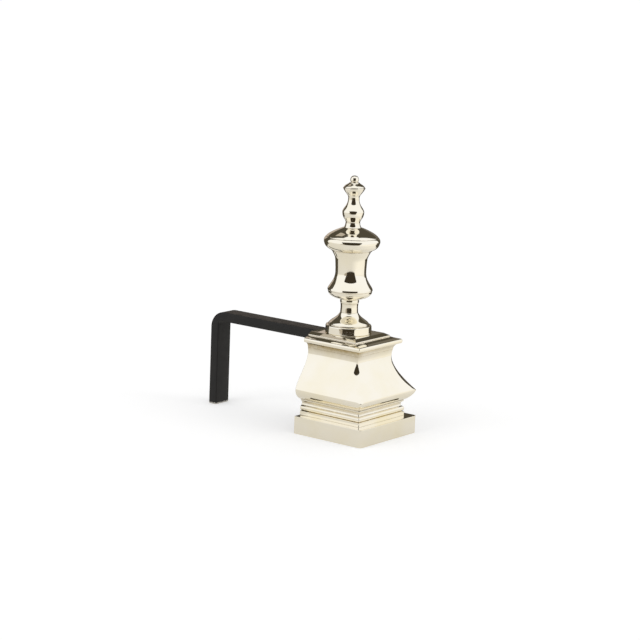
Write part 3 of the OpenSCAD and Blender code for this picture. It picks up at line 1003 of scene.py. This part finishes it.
def rounded_bar(low, high, ease):
    """A rectangular bar between two corners, in mm, its edges rounded by ease."""
    work = bmesh.new()
    bmesh.ops.create_cube(work, size=1)
    for vert in work.verts:
        vert.co = Vector([between(l, h, c + 0.5) * MM for l, h, c in zip(low, high, vert.co)])
        vert.co.y += axis_y
    bmesh.ops.bevel(
        work, geom=list(work.edges), offset=ease * MM, segments=3, profile=0.5, affect="EDGES"
    )
    mesh = mesh_of(work, "bar")
    mesh.set_sharp_from_angle(angle=math.radians(40))
    return mesh


def join_in(piece, mesh, finish):
    """Adds another mesh to a piece, all of it with the finish of that number."""
    work = bmesh.new()
    work.from_mesh(piece.data)
    count = len(work.faces)
    work.from_mesh(mesh)
    work.faces.ensure_lookup_table()
    for face in work.faces[count:]:
        face.material_index = finish
        face.smooth = True
    work.to_mesh(piece.data)
    work.free()


# %% Outside of the cornice
cornice_side, cornice_front, top_side, top_front = 44, 51, 35.5, 38
cove_lip_in, band_swell, swell_turn = 1.2, 1.1, math.radians(60)
ledge_in, edge_gap, arris_r = 1.4, 0.7, 1
hollow_sag, slope_share, top_slope_in, shelf_drop = 0.16, 0.65, 5.5, 1
flat_side, flat_front = top_side - top_slope_in, top_front - top_slope_in
slope_z, shelf_z = plate_z - slope_share * top_edge_h, edge_z - top_h - shelf_drop
bar_top, bar_w = plate_z - top_plate_t, 25


def cap_outside():
    foot = (neck_side + neck_flare, neck_front + neck_flare)
    lip = (cornice_side - cove_lip_in, cornice_front - cove_lip_in)
    ledge = (cornice_side - ledge_in, cornice_front - ledge_in)
    ridge = (top_side + edge_gap, top_front + edge_gap)
    band_z, hollow_z = cap_z + cove_h, cap_z + cove_h + band_h
    levels = []
    for a in (t * math.pi / 2 for t in shares(30)):
        z = cap_z + cove_h * math.sin(a)
        levels.append(level_at(z, 1 - math.cos(a), foot, lip, arris_r))
    for t in shares(24):
        z = between(band_z + quirk, hollow_z - quirk, t)
        swell = band_swell * (1 - math.cos(swell_turn * (2 * t - 1)))
        levels.append((z, cornice_side - swell, cornice_front - swell, arris_r))
    for t in shares(30):
        z = hollow_z + top_h * (t - hollow_sag * math.sin(math.pi * t))
        levels.append(level_at(z, t, ledge, ridge, arris_r))
    return levels


# %% Cast, drill and rib the cornice
cap_line = cap_outside()
under_plate = [
    (0, bar_top, 2, 0.1, 1),
    (flat_side, bar_top, flat_front, 0.8, 1),
    (flat_side, shelf_z, flat_front, 0.8, 1),
    (cornice_side - wall, shelf_z, cornice_front - wall, 0.8, 1),
]
under_shelf = [level for level in cap_line if level[0] < shelf_z - 0.1]
inside = [(side - wall, z, front - wall, 0.8, 1) for z, side, front, _ in under_shelf]
up = [(side, z, front, r, 0) for z, side, front, r in cap_line]
over_plate = [
    (top_side, edge_z, top_front, arris_r, 0),
    (top_side, slope_z, top_front, arris_r, 0),
    (flat_side, plate_z, flat_front, arris_r, 0),
    (0, plate_z, 2, 0.1, 0),
]
loft(
    "cast_cornice",
    "cornice_cap",
    under_plate + inside[::-1] + up + over_plate,
    closed=False,
    joints=(cap_z,),
    stains=cove_darkening,
)
cap = pieces["cast_cornice"][0]
drill(cap, bar_top - 3, plate_z + 3)
rib_x, rib_t, rib_h, rib_ease, rib_into = bar_w / 2 + 0.5, 3, 8, 0.5, 0.5
rib_front, rib_back = 2 * wall - top_front, back_reach - wall
for mirror in (-1, 1):
    low_x, high_x = sorted((mirror * rib_x, mirror * (rib_x + rib_t)))
    corners = (low_x, rib_front, bar_top - rib_h), (high_x, rib_back, bar_top + rib_into)
    join_in(cap, rounded_bar(*corners, rib_ease), 1)

# %% [markdown]
# ## The log bar
#
# The bar is hot-rolled flat iron, 25 by 12 mm, bent hot to make the leg. Rolled stock has
# slightly rounded edges, and a hot bend is round outside but almost sharp inside, so one curve
# with a fixed thickness would be wrong. The bar is lofted instead: at each station there is a
# point on the outer line and a point on the inner line, and a rounded section joins them.

# %% Stations of the bar
bar_t, bar_reach, bar_nose, bend_outer_r, bend_inner_r = 12, 210, 20, 21, 4
bar_bottom, bar_ease = bar_top - bar_t, 1.1


def bar_stations():
    """Pairs of points (outer, inner), each (distance behind the spindle, height)."""
    outer_c = (bar_reach - bend_outer_r, bar_top - bend_outer_r)
    inner_c = (bar_reach - bar_t - bend_inner_r, bar_bottom - bend_inner_r)
    straight = [
        ((y, bar_top), (y, bar_bottom)) for y in np.linspace(-bar_nose, outer_c[0] - 1.5, 40)
    ]
    bend = list(zip(arc(outer_c, bend_outer_r, 90, 0, 36), arc(inner_c, bend_inner_r, 90, 0, 36)))
    leg = [
        ((bar_reach, z), (bar_reach - bar_t, z)) for z in np.linspace(inner_c[1] - 6, 0, 22)
    ]
    return straight + bend + leg


def section(thickness, shrink, steps=5):
    """Points (across, from the inner side) of the bar's rounded section, shrunk all round."""
    r = bar_ease - min(shrink, 0.9 * bar_ease)
    points = []
    for turn, sign, s in ((0, 1, thickness), (90, -1, thickness), (180, -1, 0), (270, 1, 0)):
        cx, cs = sign * (bar_w / 2 - bar_ease), s - bar_ease if s else bar_ease
        for a in (math.radians(turn + 90 * k / steps) for k in range(steps + 1)):
            points.append((cx + r * math.cos(a), cs + r * math.sin(a)))
    return points


def eased_stations():
    """Stations with (shrink, slide), and three at each end that round off its edges."""
    stations = bar_stations()
    nose = [(*stations[0], shrink, (back, 0)) for shrink, back in ((0.7, 0), (0.2, 0.2), (0, 0.7))]
    foot = [(*stations[-1], shrink, (0, up)) for shrink, up in ((0, 0.7), (0.2, 0.2), (0.7, 0))]
    return nose + [(*pair, 0, (0, 0)) for pair in stations[1:-1]] + foot


# %% Loft the bar
iron = bpy.data.materials.new("black iron")


def rolled_bar():
    work = bmesh.new()
    rings = []
    for outer, inner, shrink, slide in eased_stations():
        o, i = Vector(outer), Vector(inner)
        thick = (o - i).length
        up = (o - i) / thick
        ring = []
        for across, height in section(thick, shrink):
            spot = i + up * height + Vector(slide)
            ring.append(work.verts.new((across * MM, axis_y + spot.x * MM, spot.y * MM)))
        rings.append(ring)
    skin(work, rings, ring=True)
    work.faces.new(rings[0])
    work.faces.new(rings[-1][::-1])
    mesh = mesh_of(work, "iron_bar")
    face_out(mesh)
    mesh.materials.append(iron)
    return link_new("iron_bar", mesh)


bar = rolled_bar()
drill(bar, bar_bottom - 3, bar_top + 3)
bar.data.set_sharp_from_angle(angle=math.radians(50))
pieces["iron_bar"] = (bar, ["billet_bar"], "black_iron")

# %% [markdown]
# ## The tie rod, its nuts and washers
#
# One rod runs through the whole stack and is screwed into the finial. It is ordinary threaded
# rod, so the thread shows in the open back. A thread is a shape with a rule: the radius goes in
# and out once for each pitch of height, and once round turns the pattern up by one pitch. A
# second tree makes it on a grid, as the lathe does, with a chamfer at both ends.
#
# The nuts and washers are the same twice over, under the bar and under the bridge. A third tree
# stands a copy of one turned shape at each place, and makes the copies real.

# %% Thread tree
flank_steepness, crest_cut = 1.35, -0.18


def thread_tree():
    tree, given, made = new_tree(
        "cut a thread",
        Start="Geometry",
        Length=0.1,
        Radius=0.005,
        Pitch=0.0015,
        Depth=0.0009,
        Chamfer=0.001,
        Steps_round=28,
        Rows_a_turn=8,
        Stands_at=(0, 0, 0),
        Finish="Material",
    )
    length, radius, pitch, depth, chamfer, steps, rows_a_turn, stands, finish = given[1:]
    inner_rows = (length / pitch).math("CEIL") * rows_a_turn
    rows = inner_rows + 3
    grid, row, column = flat_grid(tree, rows, steps + 1)
    round_share = column / steps
    z = ((row - 1) / inner_rows).held() * length
    wave = ((z / pitch - round_share).math("FRACT") * 2 - 1).math("ABSOLUTE")
    flank = (wave * flank_steepness + crest_cut).held()
    base = radius - chamfer
    limit = (base + z).math("MINIMUM", base + (length - z))
    r = (radius - flank * depth).math("MINIMUM", limit)
    is_side = row.math("GREATER_THAN", 0.5) * row.math("LESS_THAN", rows - 1.5)
    shape = wrap_round(tree, grid, r * is_side, round_share * math.tau, z, stands)
    give_out(tree, made, weld_smooth(tree, shape), finish)
    return tree


# %% Cut the rod
steel = bpy.data.materials.new("plain steel")
bridge_t, bridge_w, bridge_lap = 3, 25, 6
nut_af, nut_h, washer_d, washer_t = 17, 8, 24, 2
bridge_bottom = plinth_h - deck_t - bridge_t
rod_bottom = bridge_bottom - washer_t - nut_h - 1.5
rod_top = finial_z + rod_grip
rod = run_tree(
    "tie_rod_thread",
    thread_tree(),
    bpy.data.meshes.new("start"),
    Length=(rod_top - rod_bottom) * MM,
    Radius=rod_r * MM,
    Stands_at=Vector((0, axis_y, rod_bottom * MM)),
    Finish=steel,
)
rod.data.set_sharp_from_angle(angle=math.radians(50))
pieces["tie_rod_thread"] = (rod, ["tie_rod"], "plain_steel")
print("rod:", rod_top - rod_bottom, "mm,", len(rod.data.polygons), "faces")

# %% Hardware tree


def hardware_tree():
    tree, (profile, across_flats, lower, upper, finish), made = new_tree(
        "one at each seat",
        Profile="Geometry",
        Across_flats=0.0,
        Lower_seat=(0, 0, 0),
        Upper_seat=(0, 0, 0),
        Finish="Material",
    )
    one = add_node(tree, "GeometryNodeGroup", {"node_tree": lathe})
    feed(one, Profile=profile, Steps_round=72, Across_flats=across_flats, Finish=finish)
    seats = add_node(tree, "GeometryNodeMeshLine", {"mode": "END_POINTS"}, Count=2)
    feed(seats, Start_Location=lower, Offset=upper)
    ready = {"Points": Wire(seats), "Instance": Wire(one)}
    stood = Wire(add_node(tree, "GeometryNodeInstanceOnPoints", **ready))
    give_out(tree, made, stood, finish)
    return tree


at_each_seat = hardware_tree()


def hardware(name, node, line, height, flats=0):
    """Two equal pieces, each pressed up against its seat."""
    points, _ = soften(line, 0.06, closed=True, turn_step=10)
    piece = run_tree(
        name,
        at_each_seat,
        profile_mesh(name + "_profile", points, np.zeros(len(points))),
        Across_flats=flats * MM,
        Lower_seat=Vector((0, axis_y, (bridge_bottom - height) * MM)),
        Upper_seat=Vector((0, axis_y, (bar_bottom - height) * MM)),
        Finish=steel,
    )
    piece.data.set_sharp_from_angle(angle=math.radians(35))
    pieces[name] = (piece, [node], "plain_steel")
    print(f"{name}: {len(piece.data.polygons)} faces for two")


# %% Nuts, washers and the bridge
corner_r, chamfer_r = nut_af / 2 / math.cos(math.pi / 6), 0.93 * nut_af / 2
drop = (corner_r - chamfer_r) * math.tan(math.radians(30))
hardware(
    "hexagon_nuts",
    "clamp_nuts",
    [(rod_r, 0.7), (rod_r + 0.7, 0), (chamfer_r, 0), (corner_r, drop)]
    + [(corner_r, nut_h - drop), (chamfer_r, nut_h), (rod_r + 0.7, nut_h), (rod_r, nut_h - 0.7)],
    washer_t + nut_h,
    flats=nut_af,
)
washer_r = washer_d / 2
hardware(
    "flat_washers",
    "clamp_washers",
    [(bore_r, 0.1), (bore_r + 0.1, 0), (washer_r - 0.3, 0), (washer_r, 0.3)]
    + [(washer_r, washer_t - 0.1), (washer_r - 0.1, washer_t), (bore_r, washer_t)],
    washer_t,
)
bridge_half, bridge_top = deck_side + bridge_lap, bridge_bottom + bridge_t
corners = (-bridge_half, -bridge_w / 2, bridge_bottom), (bridge_half, bridge_w / 2, bridge_top)
bridge = link_new("bridge_bar", rounded_bar(*corners, 0.4))
bridge.data.materials.append(steel)
for face in bridge.data.polygons:
    face.use_smooth = True
drill(bridge, bridge_bottom - 2, bridge_top + 2)
bridge.data.set_sharp_from_angle(angle=math.radians(40))
pieces["bridge_bar"] = (bridge, ["bridge_plate"], "plain_steel")

# %% [markdown]
# ## Polished brass
#
# Brass is a metal, so its colour is the colour of its reflections, and most of the picture on
# it comes from the studio. A single colour and a single roughness would still look like
# plastic foil. Real polished brass differs from place to place: its colour is a little deeper
# where it has begun to tone, wiping leaves faint patches that are less clear, the buffing wheel
# leaves a slight waviness and fine lines round the work, and brown polish stays in the grooves.
#
# Every pattern is a noise on Object coordinates, so it has a real size in metres and stays in
# place from any view. The groove number stored with the meshes says where the brown goes, and
# the darkening number where the metal is made browner: under the cornice band and the body,
# fading downward and most on the left.

# %% Helpers for materials


def shader_of(material):
    """The main shader and the Object coordinates of a material."""
    material.use_nodes = True
    tree = material.node_tree
    return tree.nodes["Principled BSDF"], Wire(add_node(tree, "ShaderNodeTexCoord"), "Object")


def noise(where, size, detail=2.0, stretch=(1, 1, 1)):
    """A noise from 0 to 1 whose lumps are about size mm wide, stretched along an axis."""
    scale = tuple(1 / s for s in stretch)
    spread = Wire(add_node(where.tree, "ShaderNodeMapping", Vector=where, Scale=scale))
    lumps = {"Vector": spread, "Scale": 1000 / size, "Detail": detail}
    return Wire(add_node(where.tree, "ShaderNodeTexNoise", **lumps))


def remap(value, low, high, new_low=0.0, new_high=1.0):
    """The value with low to high made new_low to new_high, held at both ends."""
    node = add_node(value.tree, "ShaderNodeMapRange", {"clamp": True}, in_0=value)
    return Wire(feed(node, in_1=low, in_2=high, in_3=new_low, in_4=new_high))


def blend(share, first, second):
    """Two colours mixed by a share from 0 to 1."""
    first, second = (c if isinstance(c, Wire) else (*c, 1) for c in (first, second))
    node = add_node(share.tree, "ShaderNodeMix", {"data_type": "RGBA"})
    return Wire(feed(node, in_0=share, in_6=first, in_7=second), 2)


def bump(height, millimetres, under=None):
    """A surface relief of that height, on top of another where one is given."""
    relief = {"Strength": 1.0, "Distance": millimetres * MM, "Height": height}
    node = add_node(height.tree, "ShaderNodeBump", **relief)
    return Wire(feed(node, Normal=under) if under else node)


def stored(where, name):
    """A number stored with the mesh."""
    return Wire(add_node(where.tree, "ShaderNodeAttribute", {"attribute_name": name}), "Fac")


# %% Mix the polished brass
brass_light, brass_deep = (0.955, 0.912, 0.81), (0.935, 0.875, 0.71)
polish_brown, deep_brown = (0.20, 0.12, 0.05), (0.36, 0.26, 0.09)


def finish_brass():
    shader, where = shader_of(brass)
    toned = remap(noise(where, 38, 3), 0.40, 0.75)
    clouds = remap(noise(where, 7, 3), 0.30, 0.60, 0.65, 1.0)
    # Browner under the cornice band and the body, most on the left, as the stored darkening number
    # says.
    browned = stored(where, "stain") * clouds
    metal = blend(browned, blend(toned, brass_light, brass_deep), deep_brown)
    patchy = remap(noise(where, 3.5, 4), 0.30, 0.62, 0.25, 1.0)
    dirt = stored(where, "groove") * patchy * 0.6
    wiped = remap(noise(where, 16, 5, (1, 1, 0.4)), 0.45, 0.72, 0.045, 0.10)
    wave = bump(noise(where, 22, 1), 0.03)
    lines = bump(noise(where, 0.5, 2, (40, 40, 1)), 0.0006, wave)
    pits = remap(noise(where, 0.9, 2), 0.72, 0.80)
    feed(
        shader,
        Base_Color=blend(dirt, metal, polish_brown),
        Roughness=dirt * 0.40 + (browned * 0.08 + wiped),
        Normal=bump(pits, -0.01, lines),
        Metallic=1.0,
    )


finish_brass()
print("brass nodes:", len(brass.node_tree.nodes))

# %% [markdown]
# ## Brass as cast, and filed brass
#
# Inside, the castings keep the skin of the sand mould: grainy, dull, and browned by air and
# smoke. A noise with lumps of half a millimetre gives the sand, and a larger one the uneven
# skin. The rims were filed flat so that the castings sit well on each other. The file leaves
# short parallel strokes, which is the same noise pulled out long in one direction.

# %% Mix the cast skin and the filed rims


def finish_cast():
    shader, where = shader_of(cast)
    browned = remap(noise(where, 12, 4), 0.35, 0.70)
    colour = blend(browned, (0.47, 0.35, 0.16), (0.17, 0.115, 0.055))
    grain = noise(where, 0.6, 3)
    feed(
        shader,
        Base_Color=blend(remap(grain, 0.60, 0.75), colour, (0.60, 0.47, 0.24)),
        Roughness=remap(grain, 0.3, 0.7, 0.72, 0.50),
        Normal=bump(grain, 0.14, bump(noise(where, 4, 3), 0.25)),
        Metallic=0.85,
    )


def finish_filed():
    shader, where = shader_of(filed)
    strokes = noise(where, 0.35, 2, (14, 1, 1))
    patches = remap(noise(where, 6, 3), 0.4, 0.7)
    feed(
        shader,
        Base_Color=blend(patches, (0.84, 0.74, 0.50), (0.60, 0.47, 0.25)),
        Roughness=remap(strokes, 0.3, 0.7, 0.24, 0.42),
        Normal=bump(strokes, 0.012),
        Metallic=1.0,
    )


finish_cast()
finish_filed()

# %% [markdown]
# ## Black iron and plain steel
#
# The log bar is blackened and has a satin sheen. The rolled surface under the black is slightly
# uneven, so the sheen breaks up a little. At the foot the saw cut is bare, and a thin bright
# strip shows where the leg has rubbed on the hearth. The black follows the height here, with a
# ragged edge from a noise. The hardware is plain steel, oiled and a little dark in places.

# %% Mix the black and the steel
bare_foot, bare_edge = 1.6, 0.4


def finish_iron():
    shader, where = shader_of(iron)
    height = Wire(add_node(where.tree, "ShaderNodeSeparateXYZ", in_0=where), "Z")
    ragged = remap(noise(where, 2.5, 4), 0.3, 0.7, -0.5 * MM, 0.7 * MM)
    bare = remap(height - ragged, bare_foot * MM, (bare_foot + bare_edge) * MM, 1.0, 0.0)
    cloudy = remap(noise(where, 25, 4), 0.35, 0.7)
    black = blend(cloudy, (0.0085, 0.0085, 0.0095), (0.014, 0.0135, 0.0135))
    worn = blend(remap(noise(where, 1.6, 3), 0.70, 0.76), black, (0.045, 0.042, 0.040))
    rolled = bump(noise(where, 14, 3, (1, 2.5, 1)), 0.10)
    feed(
        shader,
        Base_Color=blend(bare, worn, blend(cloudy, (0.62, 0.61, 0.59), (0.45, 0.44, 0.42))),
        Metallic=bare,
        Roughness=remap(noise(where, 9, 5), 0.3, 0.7, 0.38, 0.50),
        Normal=bump(noise(where, 1.1, 2), 0.012, rolled),
        Specular_IOR_Level=0.35,
    )


def finish_steel():
    shader, where = shader_of(steel)
    oily = remap(noise(where, 7, 4), 0.35, 0.7)
    feed(
        shader,
        Base_Color=blend(oily, (0.58, 0.58, 0.57), (0.33, 0.32, 0.30)),
        Roughness=remap(noise(where, 1.8, 4), 0.3, 0.7, 0.26, 0.46),
        Normal=bump(noise(where, 0.7, 3), 0.008),
        Metallic=1.0,
    )


finish_iron()
finish_steel()
print("finishes:", [m.name for m in (brass, cast, filed, iron, steel)])

# %% [markdown]
# ## The studio
#
# A mirror-like object shows its surroundings, so the light for it is mostly a matter of what
# stands round it. The reflections on the spindle and the body tell what stood round the real
# one: white on the camera's side, from the floor to overhead, with a dark gap in front where
# the camera looked in. That gap makes the small dark squares on the vase and the stem, and the
# dark triangle on the body's corner. Behind the andiron the room was dark, almost up to
# overhead, which makes the dark dome and the dark edges of the vase. A few paler places in it
# show in the top plate.
#
# The white world is left as it is, and dark flags are stood where the room was dark, as a
# photographer does. Only reflections see them, so they don't spoil the white background.

# %% Make a flag
ahead = Vector((towards_camera.x, towards_camera.y, 0)).normalized()
to_right = Vector((-ahead.y, ahead.x, 0))


def plain_tree(owner):
    """The node tree of a material or a world, with nothing in it."""
    owner.use_nodes = True
    owner.node_tree.nodes.clear()
    return owner.node_tree


def glow(name, colour):
    """A material that gives off that colour."""
    material = bpy.data.materials.new(name)
    tree = plain_tree(material)
    light = add_node(tree, "ShaderNodeEmission", Color=(*colour, 1), Strength=1.0)
    add_node(tree, "ShaderNodeOutputMaterial", in_0=Wire(light))
    return material


def flag(name, turns, rises, reach, colour, flat=False, widen=1.0):
    """A flag between two turns, to the picture's right, and two angles above the horizon.

    The angles are in degrees, seen from the middle of the spindle. The reach is in metres.
    The top edge is wider than the bottom edge by the factor widen.
    """
    work = bmesh.new()
    rows = []
    for level in shares(12):
        rise = math.radians(between(*rises, level))
        row = []
        for t in shares(24):
            turn = math.radians(between(*turns, t) * between(1, widen, level))
            if flat:
                spot, z = (ahead + to_right * math.tan(turn)) * reach, reach * math.tan(rise)
            else:
                out, z = reach * math.cos(rise), reach * math.sin(rise)
                spot = (ahead * math.cos(turn) + to_right * math.sin(turn)) * out
            row.append(work.verts.new((spot.x, axis_y + spot.y, max(aimed_at.z + z, 0.001))))
        rows.append(row)
    skin(work, rows)
    bmesh.ops.remove_doubles(work, verts=work.verts, dist=1e-5)
    mesh = mesh_of(work, name)
    mesh.materials.append(glow(name, colour))
    item = link_new(name, mesh)
    item.visible_camera = item.visible_diffuse = item.visible_shadow = False
    item.visible_transmission = item.visible_volume_scatter = False
    item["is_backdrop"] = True


# %% Stand the flags round the spindle
camera_dark, room_dark = (0.041, 0.032, 0.021), (0.078, 0.068, 0.048)
near_grey, left_wall = (0.40, 0.35, 0.28), (0.50, 0.43, 0.37)
right_wall, high_pale = (0.17, 0.15, 0.12), (0.50, 0.45, 0.38)
flag("gap_by_camera", (-29, 29), (-10, 47), 0.9, camera_dark, flat=True, widen=1.6)
flag("grey_by_gap", (-47, -29), (-10, 5), 0.9, near_grey, flat=True)
flag("room_behind", (133, 246), (-6, 72), 1.7, room_dark)
flag("low_behind", (118, 250), (-17, 6), 0.5, room_dark)
flag("wall_behind_left", (180, 215), (4, 24), 1.6, left_wall)
flag("card_behind_left", (180, 207), (1, 13), 0.45, left_wall)
flag("wall_behind_right", (150, 180), (4, 22), 1.6, right_wall)
flag("pale_behind_left", (203, 219), (46.5, 62), 1.6, high_pale)

# %% [markdown]
# ## Floor, background and lamps
#
# The background is plain white. It comes from the colour of the world and the floor, where a
# strength of 1 is white, and not from stronger lamps, which would bleach the brass. Reflections
# see the same white world.
#
# A floor that is brighter than white would swallow the andiron's shadow. So the paper's own
# colour and its added light make about 1 together: the lamps light it most in front, and the
# added light is less there. In reflections the floor is darker and a little warm, as the
# plinth's upright faces show. It gets paler towards the right, like a card laid there, and far
# off, like a sweep of paper, so that the horizon makes a softer step in the brass.

# %% Build the floor and the background
paper_bare, paper_seen = 0.34, 0.50
lit_from, lit_reach = 0.8, 1.35
fill_unlit, fill_less = 0.476, 0.171
floor_dark, floor_pale, floor_warm = 0.49, 0.72, (1, 0.955, 0.85)
card_from, card_to, sweep_from, sweep_to = 0.12, 0.6, 2.0, 4.5
world_fill, floor_reach = 0.64, 30.0


def floor_shader():
    material = bpy.data.materials.new("pale floor")
    tree = plain_tree(material)
    ray = add_node(tree, "ShaderNodeLightPath")
    glossy = Wire(ray, "Is Glossy Ray")
    seen = Wire(ray, "Is Camera Ray").math("MAXIMUM", Wire(ray, "Is Transmission Ray"))
    place = Wire(add_node(tree, "ShaderNodeTexCoord"), "Object")
    centre = ahead * lit_from + Vector((0, axis_y, 0))
    far, right = {"operation": "DISTANCE"}, {"operation": "DOT_PRODUCT"}
    away = Wire(add_node(tree, "ShaderNodeVectorMath", far, in_0=place, in_1=centre), 1)
    beside = Wire(add_node(tree, "ShaderNodeVectorMath", right, in_0=place, in_1=to_right), 1)
    lit = sum_of(tree, "DIVIDE", 1, (away / lit_reach).math("POWER", 2) + 1)
    fill = seen * (lit * -fill_less + fill_unlit)
    card = remap(beside, card_from, card_to, floor_dark, floor_pale)
    sweep_up = remap(away, sweep_from, sweep_to, floor_dark, floor_pale)
    mirrored = glossy * card.math("MAXIMUM", sweep_up)
    paper = add_node(tree, "ShaderNodeBsdfDiffuse", Color=seen * paper_seen + paper_bare)
    tint = blend(glossy, (1, 1, 1), floor_warm)
    bright = add_node(tree, "ShaderNodeEmission", Color=tint, Strength=mirrored + fill)
    both = add_node(tree, "ShaderNodeAddShader", in_0=Wire(paper), in_1=Wire(bright))
    add_node(tree, "ShaderNodeOutputMaterial", in_0=Wire(both))
    return material


floor_mesh = bpy.data.meshes.new("floor")
corners = [(floor_reach * x, floor_reach * y, 0) for x, y in ((-1, -1), (1, -1), (1, 1), (-1, 1))]
floor_mesh.from_pydata(corners, [], [(0, 1, 2, 3)])
floor_mesh.materials.append(floor_shader())
floor = link_new("floor", floor_mesh)
floor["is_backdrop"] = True

world = bpy.data.worlds.new("studio")
scene.world = world
sky = plain_tree(world)
ray = add_node(sky, "ShaderNodeLightPath")
seen = Wire(ray, "Is Camera Ray").math("MAXIMUM", Wire(ray, "Is Transmission Ray"))
level = seen.math("MAXIMUM", Wire(ray, "Is Glossy Ray")) + Wire(ray, "Is Diffuse Ray") * world_fill
backdrop = add_node(sky, "ShaderNodeBackground", Color=(1, 1, 1, 1), Strength=level)
add_node(sky, "ShaderNodeOutputWorld", in_0=Wire(backdrop))

# %% Hang the lamps


def lamp(name, place, size, power):
    """A soft square lamp that faces the spindle and isn't seen in reflections."""
    light = bpy.data.lights.new(name, "AREA")
    light.size, light.energy = size, power
    item = bpy.data.objects.new(name, light)
    scene.collection.objects.link(item)
    item.location = place
    item.rotation_euler = (aimed_at - place).to_track_quat("-Z", "Y").to_euler()
    item.visible_glossy = False
    return item


lamp("soft_left", aimed_at + ahead * 0.9 - to_right * 1.2 + Vector((0, 0, 1.3)), 1.1, 7)
lamp("soft_right", aimed_at + ahead * 0.6 + to_right * 1.5 + Vector((0, 0, 1.0)), 1.1, 5)
scene.view_settings.view_transform = "Standard"

# %% Join every piece to the frame
for name, (piece, nodes, finish) in pieces.items():
    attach(piece, "root")
    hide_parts(*nodes)
print("pieces:", len(pieces), "CAD nodes replaced:", sum(len(p[1]) for p in pieces.values()))

# %% Measure, and close
low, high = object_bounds()
grow = [max(cad_low[k] - low[k], high[k] - cad_high[k]) / MM for k in range(3)]
print("most the visual model stands out of the CAD box, mm:", [round(g, 3) for g in grow])
